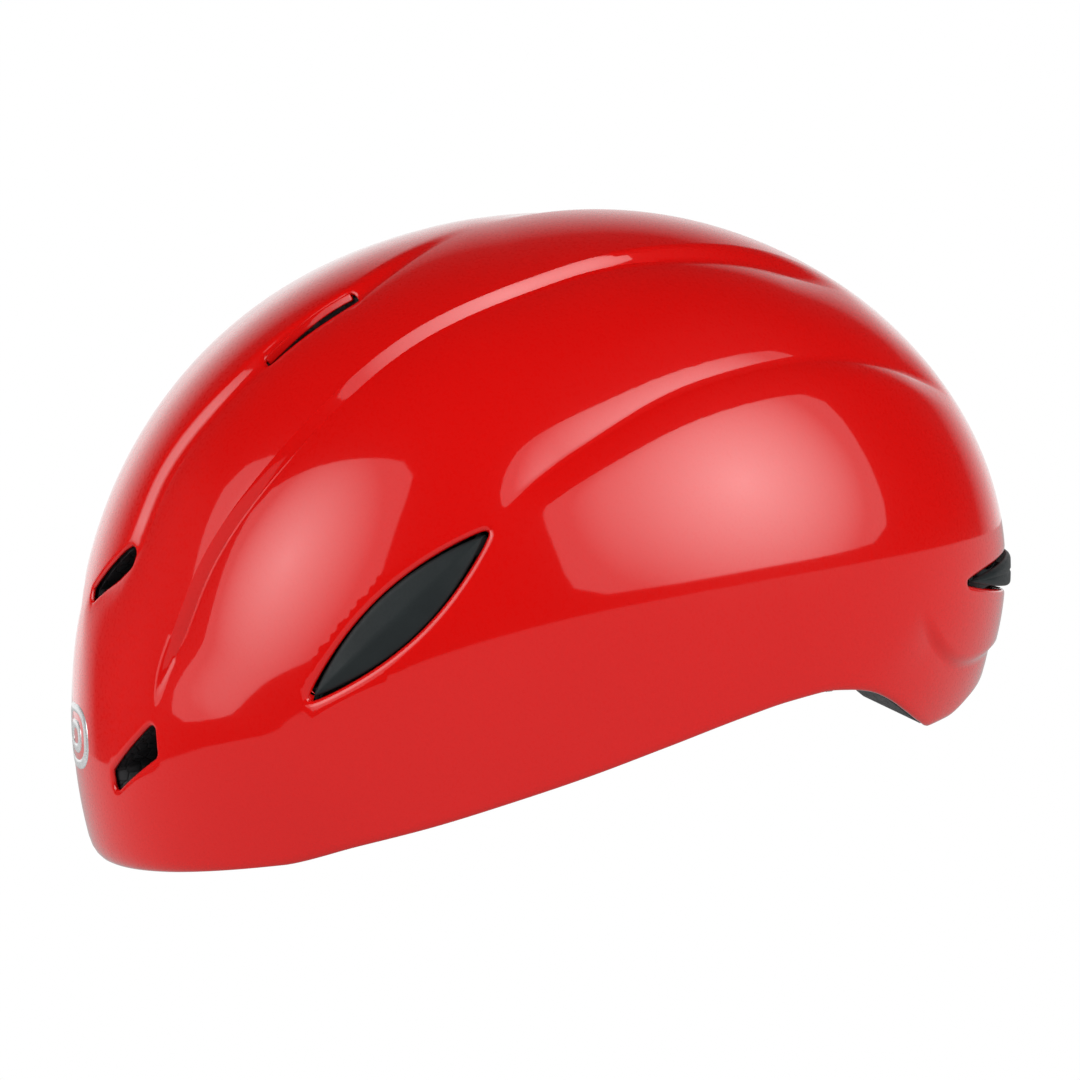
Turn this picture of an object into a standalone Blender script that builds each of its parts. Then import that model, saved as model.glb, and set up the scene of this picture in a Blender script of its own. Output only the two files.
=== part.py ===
"""Short-tail cycling helmet: glossy shell, foam liner, pads, dial cradle and chin strap harness.

Frame: +X to the wearer's left, -Y forward, +Z up, origin under the middle of the helmet on the
plane it rests on.  Lengths are written in millimetres and turned into metres when a mesh is made.
"""
import math

import bmesh
import bpy
import numpy as np
from mathutils import Matrix, Vector

MM = 0.001

# ---------------------------------------------------------------- driving dimensions
EYE_Z = 54.9          # height of the form centre above the resting plane
Y_SHIFT = -0.65         # moves the form so that its length is centred on the origin
SQUARE = 2.15         # exponent of the plan section: 2 is an ellipse, more is squarer
CROWN = (40, 85)      # elevations between which the section eases to a true ellipse
SHELL_T = 1.5         # shell thickness
GAP = 0.35            # play left between neighbouring solids
HEAD_A, HEAD_B, HEAD_C = 78.0, 102.0, 100.0    # head form half width, half length, crown height
HEAD_Y, HEAD_Z = -2.0, 32.0                    # head form centre
WEB_W, WEB_T = 15.0, 1.4                       # strap webbing
PAD_T = 5.0

# centre-line profile: radius from the form centre, by angle (0 front, 90 crown, 180 rear)
MID_A = [-45, -22, 0, 22, 45, 68, 90, 112, 135, 158, 180, 202, 225]
MID_R = [165.4, 152.0, 138.0, 127.7, 119.0, 112.3, 109.7, 114.2, 122.4, 133.8, 142.3, 137.8, 116.6]
# side profile: radius by angle above the horizontal
SIDE_A = [-45, -22, 0, 22, 45, 68, 90]
SIDE_R = [118.0, 106.0, 103.0, 105.0, 108.5, 108.5, 109.7]
# height of the lower edge round the helmet, by heading (0 front, 90 left, 180 rear)
RIM = [(0, 0.0), (34, 0.0), (45, 2.7), (55, 4.8), (66, 7.6), (79, 10.9),
       (92, 14.6), (106, 18.4), (113, 19.7), (119, 20.0), (124, 18.6), (128, 16.4), (132, 12.4),
       (136, 7.4), (140, 2.8), (143.5, 0.0), (149, 0.0), (156, 2.4), (163, 4.6), (171, 8.6),
       (180, 11.0)]


def cubic(xs, ys):
    """Natural cubic spline through the given knots."""
    xs, ys = np.asarray(xs, float), np.asarray(ys, float)
    h, n = np.diff(xs), len(xs)
    A, b = np.eye(n), np.zeros(n)
    for i in range(1, n - 1):
        A[i, i - 1:i + 2] = h[i - 1], 2 * (h[i - 1] + h[i]), h[i]
        b[i] = 6 * ((ys[i + 1] - ys[i]) / h[i] - (ys[i] - ys[i - 1]) / h[i - 1])
    m = np.linalg.solve(A, b)

    def f(x):
        x = np.asarray(x, float)
        k = np.clip(np.searchsorted(xs, x) - 1, 0, n - 2)
        d, e = x - xs[k], xs[k + 1] - x
        return (m[k] * e ** 3 + m[k + 1] * d ** 3) / (6 * h[k]) + \
            (ys[k] / h[k] - m[k] * h[k] / 6) * e + (ys[k + 1] / h[k] - m[k + 1] * h[k] / 6) * d
    return f


def monotone(pts):
    """Cubic through the knots that never overshoots them, so flats stay flat."""
    xs, ys = np.array(pts, float).T
    h, d = np.diff(xs), np.diff(ys) / np.diff(xs)
    t = np.zeros(len(xs))
    for i in range(1, len(xs) - 1):
        if d[i - 1] * d[i] > 0:
            w1, w2 = 2 * h[i] + h[i - 1], h[i] + 2 * h[i - 1]
            t[i] = (w1 + w2) / (w1 / d[i - 1] + w2 / d[i])

    def f(x):
        x = np.clip(np.asarray(x, float), xs[0], xs[-1])
        k = np.clip(np.searchsorted(xs, x) - 1, 0, len(xs) - 2)
        s = (x - xs[k]) / h[k]
        return ys[k] * (1 + 2 * s) * (1 - s) ** 2 + t[k] * h[k] * s * (1 - s) ** 2 + \
            ys[k + 1] * s * s * (3 - 2 * s) + t[k + 1] * h[k] * s * s * (s - 1)
    return f


mid_r = cubic(MID_A, MID_R)
side_r = cubic(SIDE_A + [180 - a for a in SIDE_A[-2::-1]], SIDE_R + SIDE_R[-2::-1])
rim_z = monotone(RIM)


def smooth(x, a, b):
    s = np.clip((np.asarray(x, float) - a) / (b - a), 0, 1)
    return s * s * (3 - 2 * s)


def dome(phi, psi):
    """Point of the smooth form at heading phi and elevation psi, in degrees."""
    phi, psi = np.broadcast_arrays(np.asarray(phi, float), np.asarray(psi, float))
    c, s = np.cos(np.radians(phi)), np.sin(np.radians(phi))
    rm = mid_r(np.where(c >= 0, psi, 180 - psi))
    e = 2 + (SQUARE - 2) * (1 - smooth(psi, *CROWN))
    r = ((np.abs(c) / rm) ** e + (np.abs(s) / side_r(psi)) ** e) ** (-1 / e)
    ce, se = np.cos(np.radians(psi)), np.sin(np.radians(psi))
    return np.stack([r * ce * s, -r * ce * c + Y_SHIFT, EYE_Z + r * se], -1)


def rim_psi(phi):
    """Elevation at which the form comes down to the lower edge."""
    a = np.abs((np.asarray(phi, float) + 180) % 360 - 180)
    want = rim_z(a)
    lo, hi = np.full(a.shape, -44.0), np.full(a.shape, 10.0)
    for _ in range(34):
        m = (lo + hi) / 2
        low = dome(a, m)[..., 2] < want
        lo, hi = np.where(low, m, lo), np.where(low, hi, m)
    return (lo + hi) / 2


def to_dome(p):
    """Nearest point of the smooth form along the ray from its centre."""
    p = np.asarray(p, float) - [0, Y_SHIFT, EYE_Z]
    phi = np.degrees(np.arctan2(p[..., 0], -p[..., 1]))
    psi = np.degrees(np.arctan2(p[..., 2], np.hypot(p[..., 0], p[..., 1])))
    return dome(phi, psi)


# style lines, left side, as x, y, z (they are pressed onto the form)
LINE_1 = [(3, -133, 70), (20, -128, 79), (31, -121, 88), (33, -111, 105), (39, -91, 125),
          (43, -71, 139), (44, -51, 148), (35, -29, 157), (24, -8, 161), (18, 12, 163),
          (21, 35, 161), (28, 62, 152), (32, 84, 141), (31, 102, 126), (24, 118, 105)]
LINE_2 = [(50, -126, 42), (53, -122, 54), (57, -115, 67), (60, -109, 79), (66, -91, 100),
          (70, -66, 120), (69, -41, 134), (64, -10, 142), (58, 20, 146), (56, 46, 144),
          (50, 72, 137), (42, 92, 128), (35, 100, 124)]
LINE_3 = [(97, -36, 82), (97, -21, 92), (95, 0, 101), (91, 22, 108), (86, 44, 111),
          (78, 67, 111), (66, 91, 106), (50, 114, 96), (40, 124, 89)]
LINE_4 = [(84, 85, 36), (81, 89, 29), (78, 92, 24), (70, 100, 16), (57, 112, 13), (38, 124, 14),
          (0, 130, 17)]


def path3(pts, n=60):
    p = np.array(pts, float)
    t = np.concatenate([[0], np.cumsum(np.linalg.norm(np.diff(p, axis=0), axis=1))])
    u = np.linspace(0, t[-1], n)
    return np.stack([cubic(t, p[:, k])(u) for k in range(3)], -1)


LINES = [to_dome(path3(l)) for l in (LINE_1, LINE_2, LINE_3, LINE_4)]


def off_line(p, line):
    """Signed distance to a style line (positive below it) and the fraction along it."""
    a, b = line[:-1], line[1:]
    d = b - a
    t = np.clip(((p[:, None] - a) * d).sum(-1) / (d * d).sum(-1), 0, 1)
    q = a + d * t[..., None]
    dist = np.linalg.norm(p[:, None] - q, axis=-1)
    k = dist.argmin(1)
    i = np.arange(len(p))
    out = p - [0, Y_SHIFT, EYE_Z - 20]
    side = np.einsum("ij,ij->i", np.cross(d[k], out), p - q[i, k])
    return dist[i, k] * np.sign(side), (k + t[i, k]) / (len(line) - 1)


def relief(p):
    """Height of the style lines' steps on the shell, always at or below the smooth form."""
    q = p * [1, 1, 1]
    q[:, 0] = np.abs(q[:, 0])
    h = np.zeros(len(q))
    d, u = off_line(q, LINES[0])
    amp = 2.2 * smooth(u, 0.0, 0.08) * (1 - smooth(u, 0.38, 0.56))
    h -= np.where(d > 0, amp * np.exp(-np.clip(d, 0, None) / 14), amp * (1 - smooth(-d, 0, 5)))
    ch = 2.6 * smooth(u, 0.56, 0.70) * (1 - smooth(u, 0.9, 1.0))
    h -= np.where(d > 0, 0, ch * smooth(-d, 0, 7))
    d, u = off_line(q, LINES[1])
    amp = 2.2 * smooth(u, 0.0, 0.1) * (1 - smooth(u, 0.86, 1.0))
    w = 3.0 + 6 * smooth(u, 0.7, 0.95)
    h -= np.where(d > 0, amp * np.exp(-np.clip(d, 0, None) / 18), amp * (1 - smooth(-d, 0, w)))
    d, u = off_line(q, LINES[2])
    amp = 1.6 * smooth(u, 0.0, 0.15) * (1 - smooth(u, 0.85, 1.0))
    h -= amp * np.exp(-(d / np.where(d > 0, 5, 9)) ** 2)
    d, u = off_line(q, LINES[3])
    amp = 1.5 * smooth(u, 0.0, 0.15)
    h -= np.where(d > 0, amp * np.exp(-np.clip(d, 0, None) / 16), amp * (1 - smooth(-d, 0, 4)))
    return h


def skin(phi, psi, depth):
    """Points at a depth under the styled outer surface, by small differences of the form."""
    e = 0.4
    p = dome(phi, psi)
    du = dome(phi + e, psi) - dome(phi - e, psi)
    dv = dome(phi, np.minimum(psi + e, 89.9)) - dome(phi, psi - e)
    n = np.cross(du, dv)
    pole = psi > 89.5
    n[pole] = [0, 0, 1]
    n /= np.linalg.norm(n, axis=-1)[..., None]
    return p + n * (relief(p) - depth)[:, None]


def head(phi, the, off=0.0):
    """Head form: ellipsoid above its widest level, straight walls below; off is inward."""
    phi, the = np.broadcast_arrays(np.radians(phi), np.radians(the))
    ce, se = np.where(the > 0, np.cos(the), 1.0), np.sin(the)
    p = np.stack([HEAD_A * ce * np.sin(phi), HEAD_Y - HEAD_B * ce * np.cos(phi),
                  HEAD_Z + HEAD_C * se], -1)
    n = np.stack([ce * np.sin(phi) / HEAD_A, -ce * np.cos(phi) / HEAD_B,
                  np.where(the > 0, se, 0) / HEAD_C], -1)
    n /= np.linalg.norm(n, axis=-1)[..., None]
    return p - n * off


def head_t(z):
    """Elevation on the head form at height z."""
    return np.degrees(np.arcsin(np.clip((np.asarray(z, float) - HEAD_Z) / HEAD_C, -1, 1)))


# ---------------------------------------------------------------- scene, materials, helpers
for o in list(bpy.data.objects):
    bpy.data.objects.remove(o, do_unlink=True)
PARTS = bpy.data.collections.new("cycling_helmet")
TOOLS = bpy.data.collections.new("cutters")
for c in (PARTS, TOOLS):
    bpy.context.scene.collection.children.link(c)


def material(name, rgb, rough, metal=0.0):
    m = bpy.data.materials.new(name)
    m.use_nodes = True
    b = m.node_tree.nodes["Principled BSDF"]
    b.inputs["Base Color"].default_value = (*rgb, 1)
    b.inputs["Roughness"].default_value = rough
    b.inputs["Metallic"].default_value = metal
    return m


RED = material("shell_red", (0.62, 0.006, 0.006), 0.12)
FOAM = material("foam_black", (0.03, 0.03, 0.032), 0.8)
TRIM = material("trim_black", (0.014, 0.02, 0.021), 0.55)
NYLON = material("nylon_black", (0.025, 0.025, 0.027), 0.45)
PAD = material("pad_cloth", (0.045, 0.045, 0.05), 0.9)
WEB = material("webbing", (0.02, 0.02, 0.022), 0.8)


def add(name, bm, mat, parent=None, collection=PARTS, smooth_deg=35):
    bmesh.ops.recalc_face_normals(bm, faces=bm.faces)
    if all(e.is_manifold for e in bm.edges) and bm.calc_volume(signed=True) < 0:
        bmesh.ops.reverse_faces(bm, faces=bm.faces)
    me = bpy.data.meshes.new(name)
    bm.to_mesh(me)
    bm.free()
    me.materials.append(mat)
    me.shade_smooth()
    me.set_sharp_from_angle(angle=math.radians(smooth_deg))
    ob = bpy.data.objects.new(name, me)
    collection.objects.link(ob)
    ob.parent = parent
    return ob


def cutter(name, bm):
    ob = add(name, bm, FOAM, collection=TOOLS)
    ob.hide_render = True
    ob.display_type = "WIRE"
    return ob


def cut(ob, tool, op="DIFFERENCE"):
    m = ob.modifiers.new(tool.name, "BOOLEAN")
    m.operation, m.object, m.solver = op, tool, "EXACT"


def solidify(ob, t, offset=-1.0):
    m = ob.modifiers.new("thickness", "SOLIDIFY")
    m.thickness, m.offset, m.use_even_offset = t * MM, offset, True
    return ob


def bowl(outer, inner, cols, rows):
    """A sphere pushed in on itself: its upper half takes the outer skin, its lower the inner."""
    bm = bmesh.new()
    bmesh.ops.create_uvsphere(bm, u_segments=len(cols), v_segments=2 * rows + 1, radius=1.0)
    co = np.array([v.co[:] for v in bm.verts])
    lon = np.round((np.degrees(np.arctan2(co[:, 0], -co[:, 1])) % 360) * len(cols) / 360)
    phi = np.array(cols)[lon.astype(int) % len(cols)]
    lat = np.degrees(np.arcsin(np.clip(co[:, 2], -1, 1)))
    k = np.round((90 - np.abs(lat)) / 180 * (2 * rows + 1)) / rows
    up = lat > 0
    p = np.where(up[:, None], outer(phi, k), inner(phi, k))
    for v, q in zip(bm.verts, p):
        v.co = q * MM
    at = {v: (abs((a + 180) % 360 - 180), b) for v, a, b in zip(bm.verts, phi, k)}
    for f in [f for f in bm.faces if len(f.verts) == 4]:
        # each quad is split from its upper front corner to its lower rear one, the same on
        # every skin, so that neighbouring skins keep an even gap
        vs = list(f.verts)
        a, b = [round(at[v][0], 2) for v in vs], [round(at[v][1], 4) for v in vs]
        v1 = [v for v, x, y in zip(vs, a, b) if x == min(a) and y == min(b)]
        v2 = [v for v, x, y in zip(vs, a, b) if x == max(a) and y == max(b)]
        if len(v1) == 1 and len(v2) == 1 and (vs.index(v1[0]) - vs.index(v2[0])) % 2 == 0:
            bmesh.utils.face_split(f, v1[0], v2[0])
    return bm


def place(bm, p):
    for v, q in zip(bm.verts, p):
        v.co = q * MM
    return bm


def box(sx, sy, sz, at=(0, 0, 0), bevel=0.0):
    bm = bmesh.new()
    bmesh.ops.create_cube(bm, size=1.0, matrix=Matrix.Translation(Vector(at) * MM) @
                          Matrix.Diagonal((sx * MM, sy * MM, sz * MM, 1)))
    if bevel:
        bmesh.ops.bevel(bm, geom=bm.edges[:], offset=bevel * MM, segments=2, affect="EDGES",
                        profile=0.5)
    return bm


def turned(name, profile, mat, where, steps=20, parent=None):
    """A profile of (radius, height) turned round local Z, placed by a matrix."""
    me = bpy.data.meshes.new(name)
    pts = [(r * MM, 0, z * MM) for r, z in profile]
    me.from_pydata(pts, [(i, i + 1) for i in range(len(pts) - 1)], [])
    me.materials.append(mat)
    ob = bpy.data.objects.new(name, me)
    PARTS.objects.link(ob)
    m = ob.modifiers.new("turn", "SCREW")
    m.axis, m.steps, m.render_steps, m.angle = "Z", steps, steps, math.tau
    m.use_merge_vertices, m.merge_threshold = True, 1e-5
    m.use_smooth_shade = True
    ob.parent = parent
    ob.matrix_local = where
    return ob


def aim(at, direction):
    """Placement whose local Z points along a direction."""
    q = Vector(direction).to_track_quat("Z", "Y").to_matrix().to_4x4()
    return Matrix.Translation(Vector(at) * MM) @ q


def strip(name, centre, width_dir, width, thick, mat, n, across=2, parent=None, offset=0.0,
          lo=None, hi=None):
    """A band: a grid sheet laid along a path and thickened."""
    bm = bmesh.new()
    bmesh.ops.create_grid(bm, x_segments=n, y_segments=across, size=1.0)
    co = np.array([v.co[:] for v in bm.verts])
    u, w = (co[:, 0] + 1) / 2, co[:, 1]
    k = np.round(u * n).astype(int)
    c, d = centre(u), width_dir(u)
    half = np.full(len(u), width / 2)
    if lo is not None:
        half = np.where(w < 0, lo[k], hi[k])
    place(bm, c + d * (w * half)[:, None])
    ob = add(name, bm, mat, parent=parent)
    return solidify(ob, thick, offset)


# ---------------------------------------------------------------- shell and liner
COLS = sorted({*range(0, 181, 8), 30, 35, 45, 52, 100, 108, 116, 120, 124, 128, 132, 136, 140,
               144, 149, 156, 164, 172, 180} - {32, 48, 104, 112, 160, 168, 176})
COLS = [float(c) for c in COLS] + [-float(c) for c in COLS[-2:0:-1]]
ROWS = 15


def shell_at(depth, lift):
    def f(phi, k):
        low = rim_psi(phi)
        front = 1 - smooth(np.abs((phi + 180) % 360 - 180), 4, 26)
        turn_in = np.where(k > 0.99, 1.0 + 2.0 * front, 0.0)      # the edge is turned under
        return skin(phi, 90 - k * (90 - low), depth + turn_in) + np.stack(
            [0 * k, 0 * k, lift * smooth(k, 0.9, 1)], -1)
    return f


def cavity(phi, k):
    a = np.abs((phi + 180) % 360 - 180)
    low = head_t(rim_z(a) + 9.0 * smooth(a, 60, 135))      # the foot slopes up inwards at the rear
    return head(phi, 90 - k * (90 - low))


EDGE = 0.35           # the shell's edge stops this much above the liner's foot
shell = add("outer_shell", bowl(shell_at(0.0, EDGE), shell_at(SHELL_T, EDGE), COLS, ROWS), RED)
liner = add("eps_liner", bowl(shell_at(SHELL_T + GAP, 0.0), cavity, COLS, ROWS), FOAM)
for v in liner.data.vertices:          # the foot is level where the helmet rests
    if v.co.z < 0.0011:
        v.co.z = 0.0


def lens_cutter(name, a, b, width, inward, depth, out=8.0, bulge=1.0, n=20, at=0.5, skew=0.0):
    """A lens-shaped plug between tips a and b, reaching inward through the wall."""
    a, b = Vector(a), Vector(b)
    ax = (b - a).normalized()
    inn = Vector(inward).normalized()
    wd = inn.cross(ax).normalized()
    bm = bmesh.new()
    bmesh.ops.create_cone(bm, cap_ends=True, segments=n, radius1=1, radius2=1, depth=1)
    for v in bm.verts:
        t = math.atan2(v.co.y, v.co.x)
        s = (1 + math.cos(t)) / 2
        w = math.sin(t) * (0.35 + 0.65 * abs(math.sin(t))) * width / 2
        q = a.lerp(b, s) + wd * (w + skew * math.sin(t) ** 2 * width / 2)
        q = q + inn * (depth if v.co.z > 0 else -out)
        v.co = q * MM
    return cutter(name, bm)


def slot_cutter(name, a, b, h_a, h_b, inward, depth, out=8.0, up=(0, 0, 1)):
    """A tapered slot between ends a and b."""
    a, b, inn, up = Vector(a), Vector(b), Vector(inward).normalized(), Vector(up)
    bm = bmesh.new()
    bmesh.ops.create_cube(bm, size=2.0)
    for v in bm.verts:
        end, h = (b, h_b) if v.co.x > 0 else (a, h_a)
        q = end + up * (v.co.z * h / 2) + inn * (depth if v.co.y > 0 else -out)
        v.co = q * MM
    return cutter(name, bm)


SIDE_A_TIP, SIDE_B_TIP = (82.3, -89.0, 44.2), (97.4, -36.6, 81.0)
for sx, side in ((1, "left"), (-1, "right")):
    m = lambda p: (sx * p[0], p[1], p[2])
    up_vent = slot_cutter(side + "_upper_vent_cut", m((8.5, -131.0, 76.5)), m((30.5, -121.5, 88.0)),
                          4.0, 6.0, (0, 1, 0), 46, up=(sx * -0.1, 0.3, 0.95))
    lo_vent = slot_cutter(side + "_lower_vent_cut", m((31.0, -137.0, 26.0)), m((50.0, -127.0, 38.0)),
                          6.5, 10.0, (0, 1, 0), 60)
    slit = slot_cutter(side + "_crown_slit_cut", m((41.5, -78.0, 134.0)), m((42.0, -49.0, 149.0)),
                       4.5, 4.5, (sx * -0.45, 0.12, -1), 46, up=(1, 0, 0))
    for t in (up_vent, lo_vent, slit):
        cut(shell, t)
        cut(liner, t)
    win = lens_cutter(side + "_side_window_cut", m(SIDE_A_TIP), m(SIDE_B_TIP), 15.5,
                      (-sx, 0.22, -0.12), 9.0, out=9.0)
    cut(shell, win)
    cut(liner, win)


def lens_plate(name, a, b, width, mat, drop, thick, n_u=14, n_w=4, curve=None, fold=0.0):
    """A thin lens-shaped plate that follows the outer form at a set depth."""
    bm = bmesh.new()
    bmesh.ops.create_grid(bm, x_segments=n_u, y_segments=n_w, size=1.0)
    co = np.array([v.co[:] for v in bm.verts])
    a, b = np.array(a, float), np.array(b, float)
    s = (co[:, 0] + 1) / 2
    s = 0.015 + 0.97 * s
    half = np.maximum(width / 2 * np.sin(np.pi * s) ** 0.85, 0.7)
    ax = (b - a) / np.linalg.norm(b - a)
    c = a + (b - a) * s[:, None]
    nrm = c - [0, Y_SHIFT, EYE_Z]
    nrm /= np.linalg.norm(nrm, axis=1)[:, None]
    wd = np.cross(nrm, ax)
    wd /= np.linalg.norm(wd, axis=1)[:, None]
    p = c + wd * (half * co[:, 1])[:, None]
    q = p - [0, Y_SHIFT, EYE_Z]
    phi = np.degrees(np.arctan2(q[:, 0], -q[:, 1]))
    psi = np.degrees(np.arctan2(q[:, 2], np.hypot(q[:, 0], q[:, 1])))
    p = skin(phi, psi, drop - fold * (1 - np.abs(co[:, 1])))
    ob = add(name, place(bm, p), mat)
    return ob


for sx, side in ((1, "left"), (-1, "right")):
    ob = lens_plate(side + "_side_vent_insert", (sx * 83.4, -86.6, 45.8), (sx * 97.2, -38.8, 79.4),
                    12.6, TRIM, 1.2, 3.0, fold=0.7)
    solidify(ob, 2.6, -1.0).modifiers[0].use_even_offset = False

# rear cover: a wide lens wrapped round the back, standing slightly proud of the shell
REAR_Z, REAR_H, REAR_SPAN = 36.0, 13.0, 33.0


def rear_band(name, span, height, depth, thick, mat, n_u, n_w, collection=PARTS):
    bm = bmesh.new()
    bmesh.ops.create_grid(bm, x_segments=n_u, y_segments=n_w, size=1.0)
    co = np.array([v.co[:] for v in bm.verts])
    phi = 180 - co[:, 0] * span
    half = height / 2 * np.clip(1 - np.abs(co[:, 0]) ** 2.2, 0.1, 1) ** 0.8
    z = REAR_Z + 1.5 * co[:, 0] ** 2 + co[:, 1] * half
    psi = np.degrees(np.arctan2(z - EYE_Z, 138.0))
    p = skin(phi, psi, depth)
    ob = solidify(add(name, place(bm, p), mat, collection=collection), thick, -1.0)
    ob.modifiers[0].use_even_offset = False
    return ob


rear_tool = rear_band("rear_window_cut", REAR_SPAN, REAR_H, -4.0, 9.5, FOAM, 20, 2, TOOLS)
rear_tool.hide_render, rear_tool.display_type = True, "WIRE"
cut(shell, rear_tool)
cut(liner, rear_tool)
rear_band("rear_cover", REAR_SPAN - 1.1, REAR_H - 1.5, -1.6, 5.6, TRIM, 20, 4)


# ---------------------------------------------------------------- pads on the head form
def pad(name, phi0, phi1, z0, z1, thick=PAD_T, n_u=8, n_w=5):
    """A soft pad with rounded ends pressed on the head form."""
    bm = bmesh.new()
    bmesh.ops.create_grid(bm, x_segments=n_u, y_segments=n_w, size=1.0)
    co = np.array([v.co[:] for v in bm.verts])
    s, t = co[:, 0], co[:, 1]
    u, v = s * np.sqrt(1 - 0.42 * t * t), t * np.sqrt(1 - 0.42 * s * s)
    t0, t1 = head_t(z0), head_t(z1)
    p = head((phi0 + phi1) / 2 + u * (phi1 - phi0) / 2, (t0 + t1) / 2 + v * (t1 - t0) / 2, 1.3)
    ob = add(name, place(bm, p), PAD)
    nrm = ob.data.vertices[0].normal
    inward = Vector((0, HEAD_Y, HEAD_Z + 20)) * MM - ob.data.vertices[0].co
    return solidify(ob, thick, 1.0 if nrm.dot(inward) > 0 else -1.0)


def roof_pad(name, y0, y1, half_x, thick=PAD_T):
    bm = bmesh.new()
    bmesh.ops.create_grid(bm, x_segments=6, y_segments=6, size=1.0)
    co = np.array([v.co[:] for v in bm.verts])
    s, t = co[:, 0], co[:, 1]
    u, v = s * np.sqrt(1 - 0.42 * t * t), t * np.sqrt(1 - 0.42 * s * s)
    x, y = u * half_x, (y0 + y1) / 2 + v * (y1 - y0) / 2
    r = np.hypot(x / HEAD_A, (y - HEAD_Y) / HEAD_B)
    phi = np.degrees(np.arctan2(x / HEAD_A, -(y - HEAD_Y) / HEAD_B))
    p = head(phi, np.degrees(np.arccos(r)), 1.3)
    ob = add(name, place(bm, p), PAD)
    nrm = ob.data.vertices[0].normal
    return solidify(ob, thick, 1.0 if nrm.z < 0 else -1.0)


pad("brow_pad", -43, 43, 4, 21, n_u=14, n_w=4)
for sx, side in ((1, "left"), (-1, "right")):
    pad(side + "_front_side_pad", sx * 46, sx * 78, 70, 96)
    pad(side + "_rear_side_pad", sx * 103, sx * 136, 74, 98)
roof_pad("front_crown_pad", -64, -15, 21)
roof_pad("rear_crown_pad", 11, 60, 21)

# ---------------------------------------------------------------- strap harness, stowed inside
ANCHORS = {"front": (52.0, 36.0), "rear": (128.0, 60.0)}


def wall(phi, z, off):
    return head(phi, head_t(z), off)


def wall_strip(name, phi0, z0, phi1, z1, off, width, thick, mat, n, z_mid=None):
    def centre(u):
        z = z0 + (z1 - z0) * u
        if z_mid is not None:
            z = z + 4 * z_mid * u * (1 - u)
        return wall(phi0 + (phi1 - phi0) * u, z, off)

    def across(u):
        e = 1e-3
        d = centre(np.clip(u + e, 0, 1)) - centre(np.clip(u - e, 0, 1))
        d /= np.linalg.norm(d, axis=-1)[:, None]
        c0 = centre(u)
        out = c0 - wall(phi0 + (phi1 - phi0) * u, z0 + (z1 - z0) * u, off + 1)
        w = np.cross(d, out)
        w *= np.sign(w[:, 2])[:, None]
        return w / np.linalg.norm(w, axis=-1)[:, None]
    return strip(name, centre, across, width, thick, mat, n)


for sx, side in ((1, "left"), (-1, "right")):
    for where, (phi, z) in ANCHORS.items():
        c = wall(np.array([sx * phi]), z, 1.6)[0]
        n = wall(np.array([sx * phi]), z, 3.6)[0] - c
        turned(f"{side}_{where}_strap_anchor",
               [(0, 2.1), (4.5, 2.1), (8.0, 1.5), (8.0, 0.0), (0, 0.0)], NYLON, aim(c, n), 18)
    wall_strip(side + "_front_strap", sx * 50.0, 34.5, sx * 84.5, 52.5, 5.1, WEB_W, WEB_T, WEB, 12)
    wall_strip(side + "_rear_strap", sx * 130.0, 60.5, sx * 95.5, 52.5, 5.1, WEB_W, WEB_T, WEB, 12)

CHORD_Z = 108.0


def chin_path(t):
    """Strap line in the plane across the cavity: up the wall, then straight to the buckle."""
    w = [wall(np.array([90.0]), z, o)[0]
         for z, o in ((61, 2.7), (66, 2.8), (72, 3.4), (80, 4.0), (90, 4.2), (98, 4.2))]
    pts = [(p[0], p[2]) for p in w] + [(46.0, 105.6), (41.0, CHORD_Z - 0.4)] + \
        [(x, CHORD_Z) for x in (36.0, 28.0, 18.0, 8.0, 3.0)]
    p = np.array(pts)
    s = np.concatenate([[0], np.cumsum(np.linalg.norm(np.diff(p, axis=0), axis=1))])
    u = np.asarray(t) * s[-1]
    return cubic(s, p[:, 0])(u), cubic(s, p[:, 1])(u)


def chin_strip(name, sx, t0, t1, width, thick, mat, n, drop=0.0):
    def centre(u):
        t = t0 + (t1 - t0) * u
        x, z = chin_path(t)
        if drop:
            x1, z1 = chin_path(np.clip(t + 1e-3, 0, 1))
            x0, z0 = chin_path(np.clip(t - 1e-3, 0, 1))
            d = np.stack([x1 - x0, z1 - z0], -1)
            d /= np.linalg.norm(d, axis=-1)[:, None]
            x, z = x - drop * -d[:, 1] * -1, z - drop * d[:, 0] * -1
        return np.stack([sx * x, np.full_like(x, HEAD_Y), z], -1)
    return strip(name, centre, lambda u: np.tile([0.0, 1.0, 0.0], (len(u), 1)), width, thick,
                 mat, n)


def t_at_x(x):
    ts = np.linspace(0, 1, 800)
    return float(ts[np.argmin(np.abs(chin_path(ts)[0] - x))])


chin_strip("left_chin_strap", 1, 0.0, 1.0, WEB_W, WEB_T, WEB, 26)
chin_strip("right_chin_strap", -1, 0.0, t_at_x(25.5), WEB_W, WEB_T, WEB, 24)
chin_strip("chin_pad", -1, t_at_x(62.0), t_at_x(29.5), 22.0, 3.2, PAD, 12, drop=2.9)

for sx, side in ((1, "left"), (-1, "right")):
    x0 = sx * 66.5
    bm = box(3.6, 25.0, 23.0, (x0, HEAD_Y, 55.5), 1.2)
    add(side + "_strap_divider", bm, NYLON)
    hinge = bpy.data.objects.new(side + "_lever_axis", None)
    hinge.location = Vector((sx * 63.2, HEAD_Y, 48.6)) * MM
    PARTS.objects.link(hinge)
    bm = box(1.8, 15.0, 13.4, (0, 0, 5.9), 0.7)
    add(side + "_divider_lever", bm, NYLON, parent=hinge)

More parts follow.
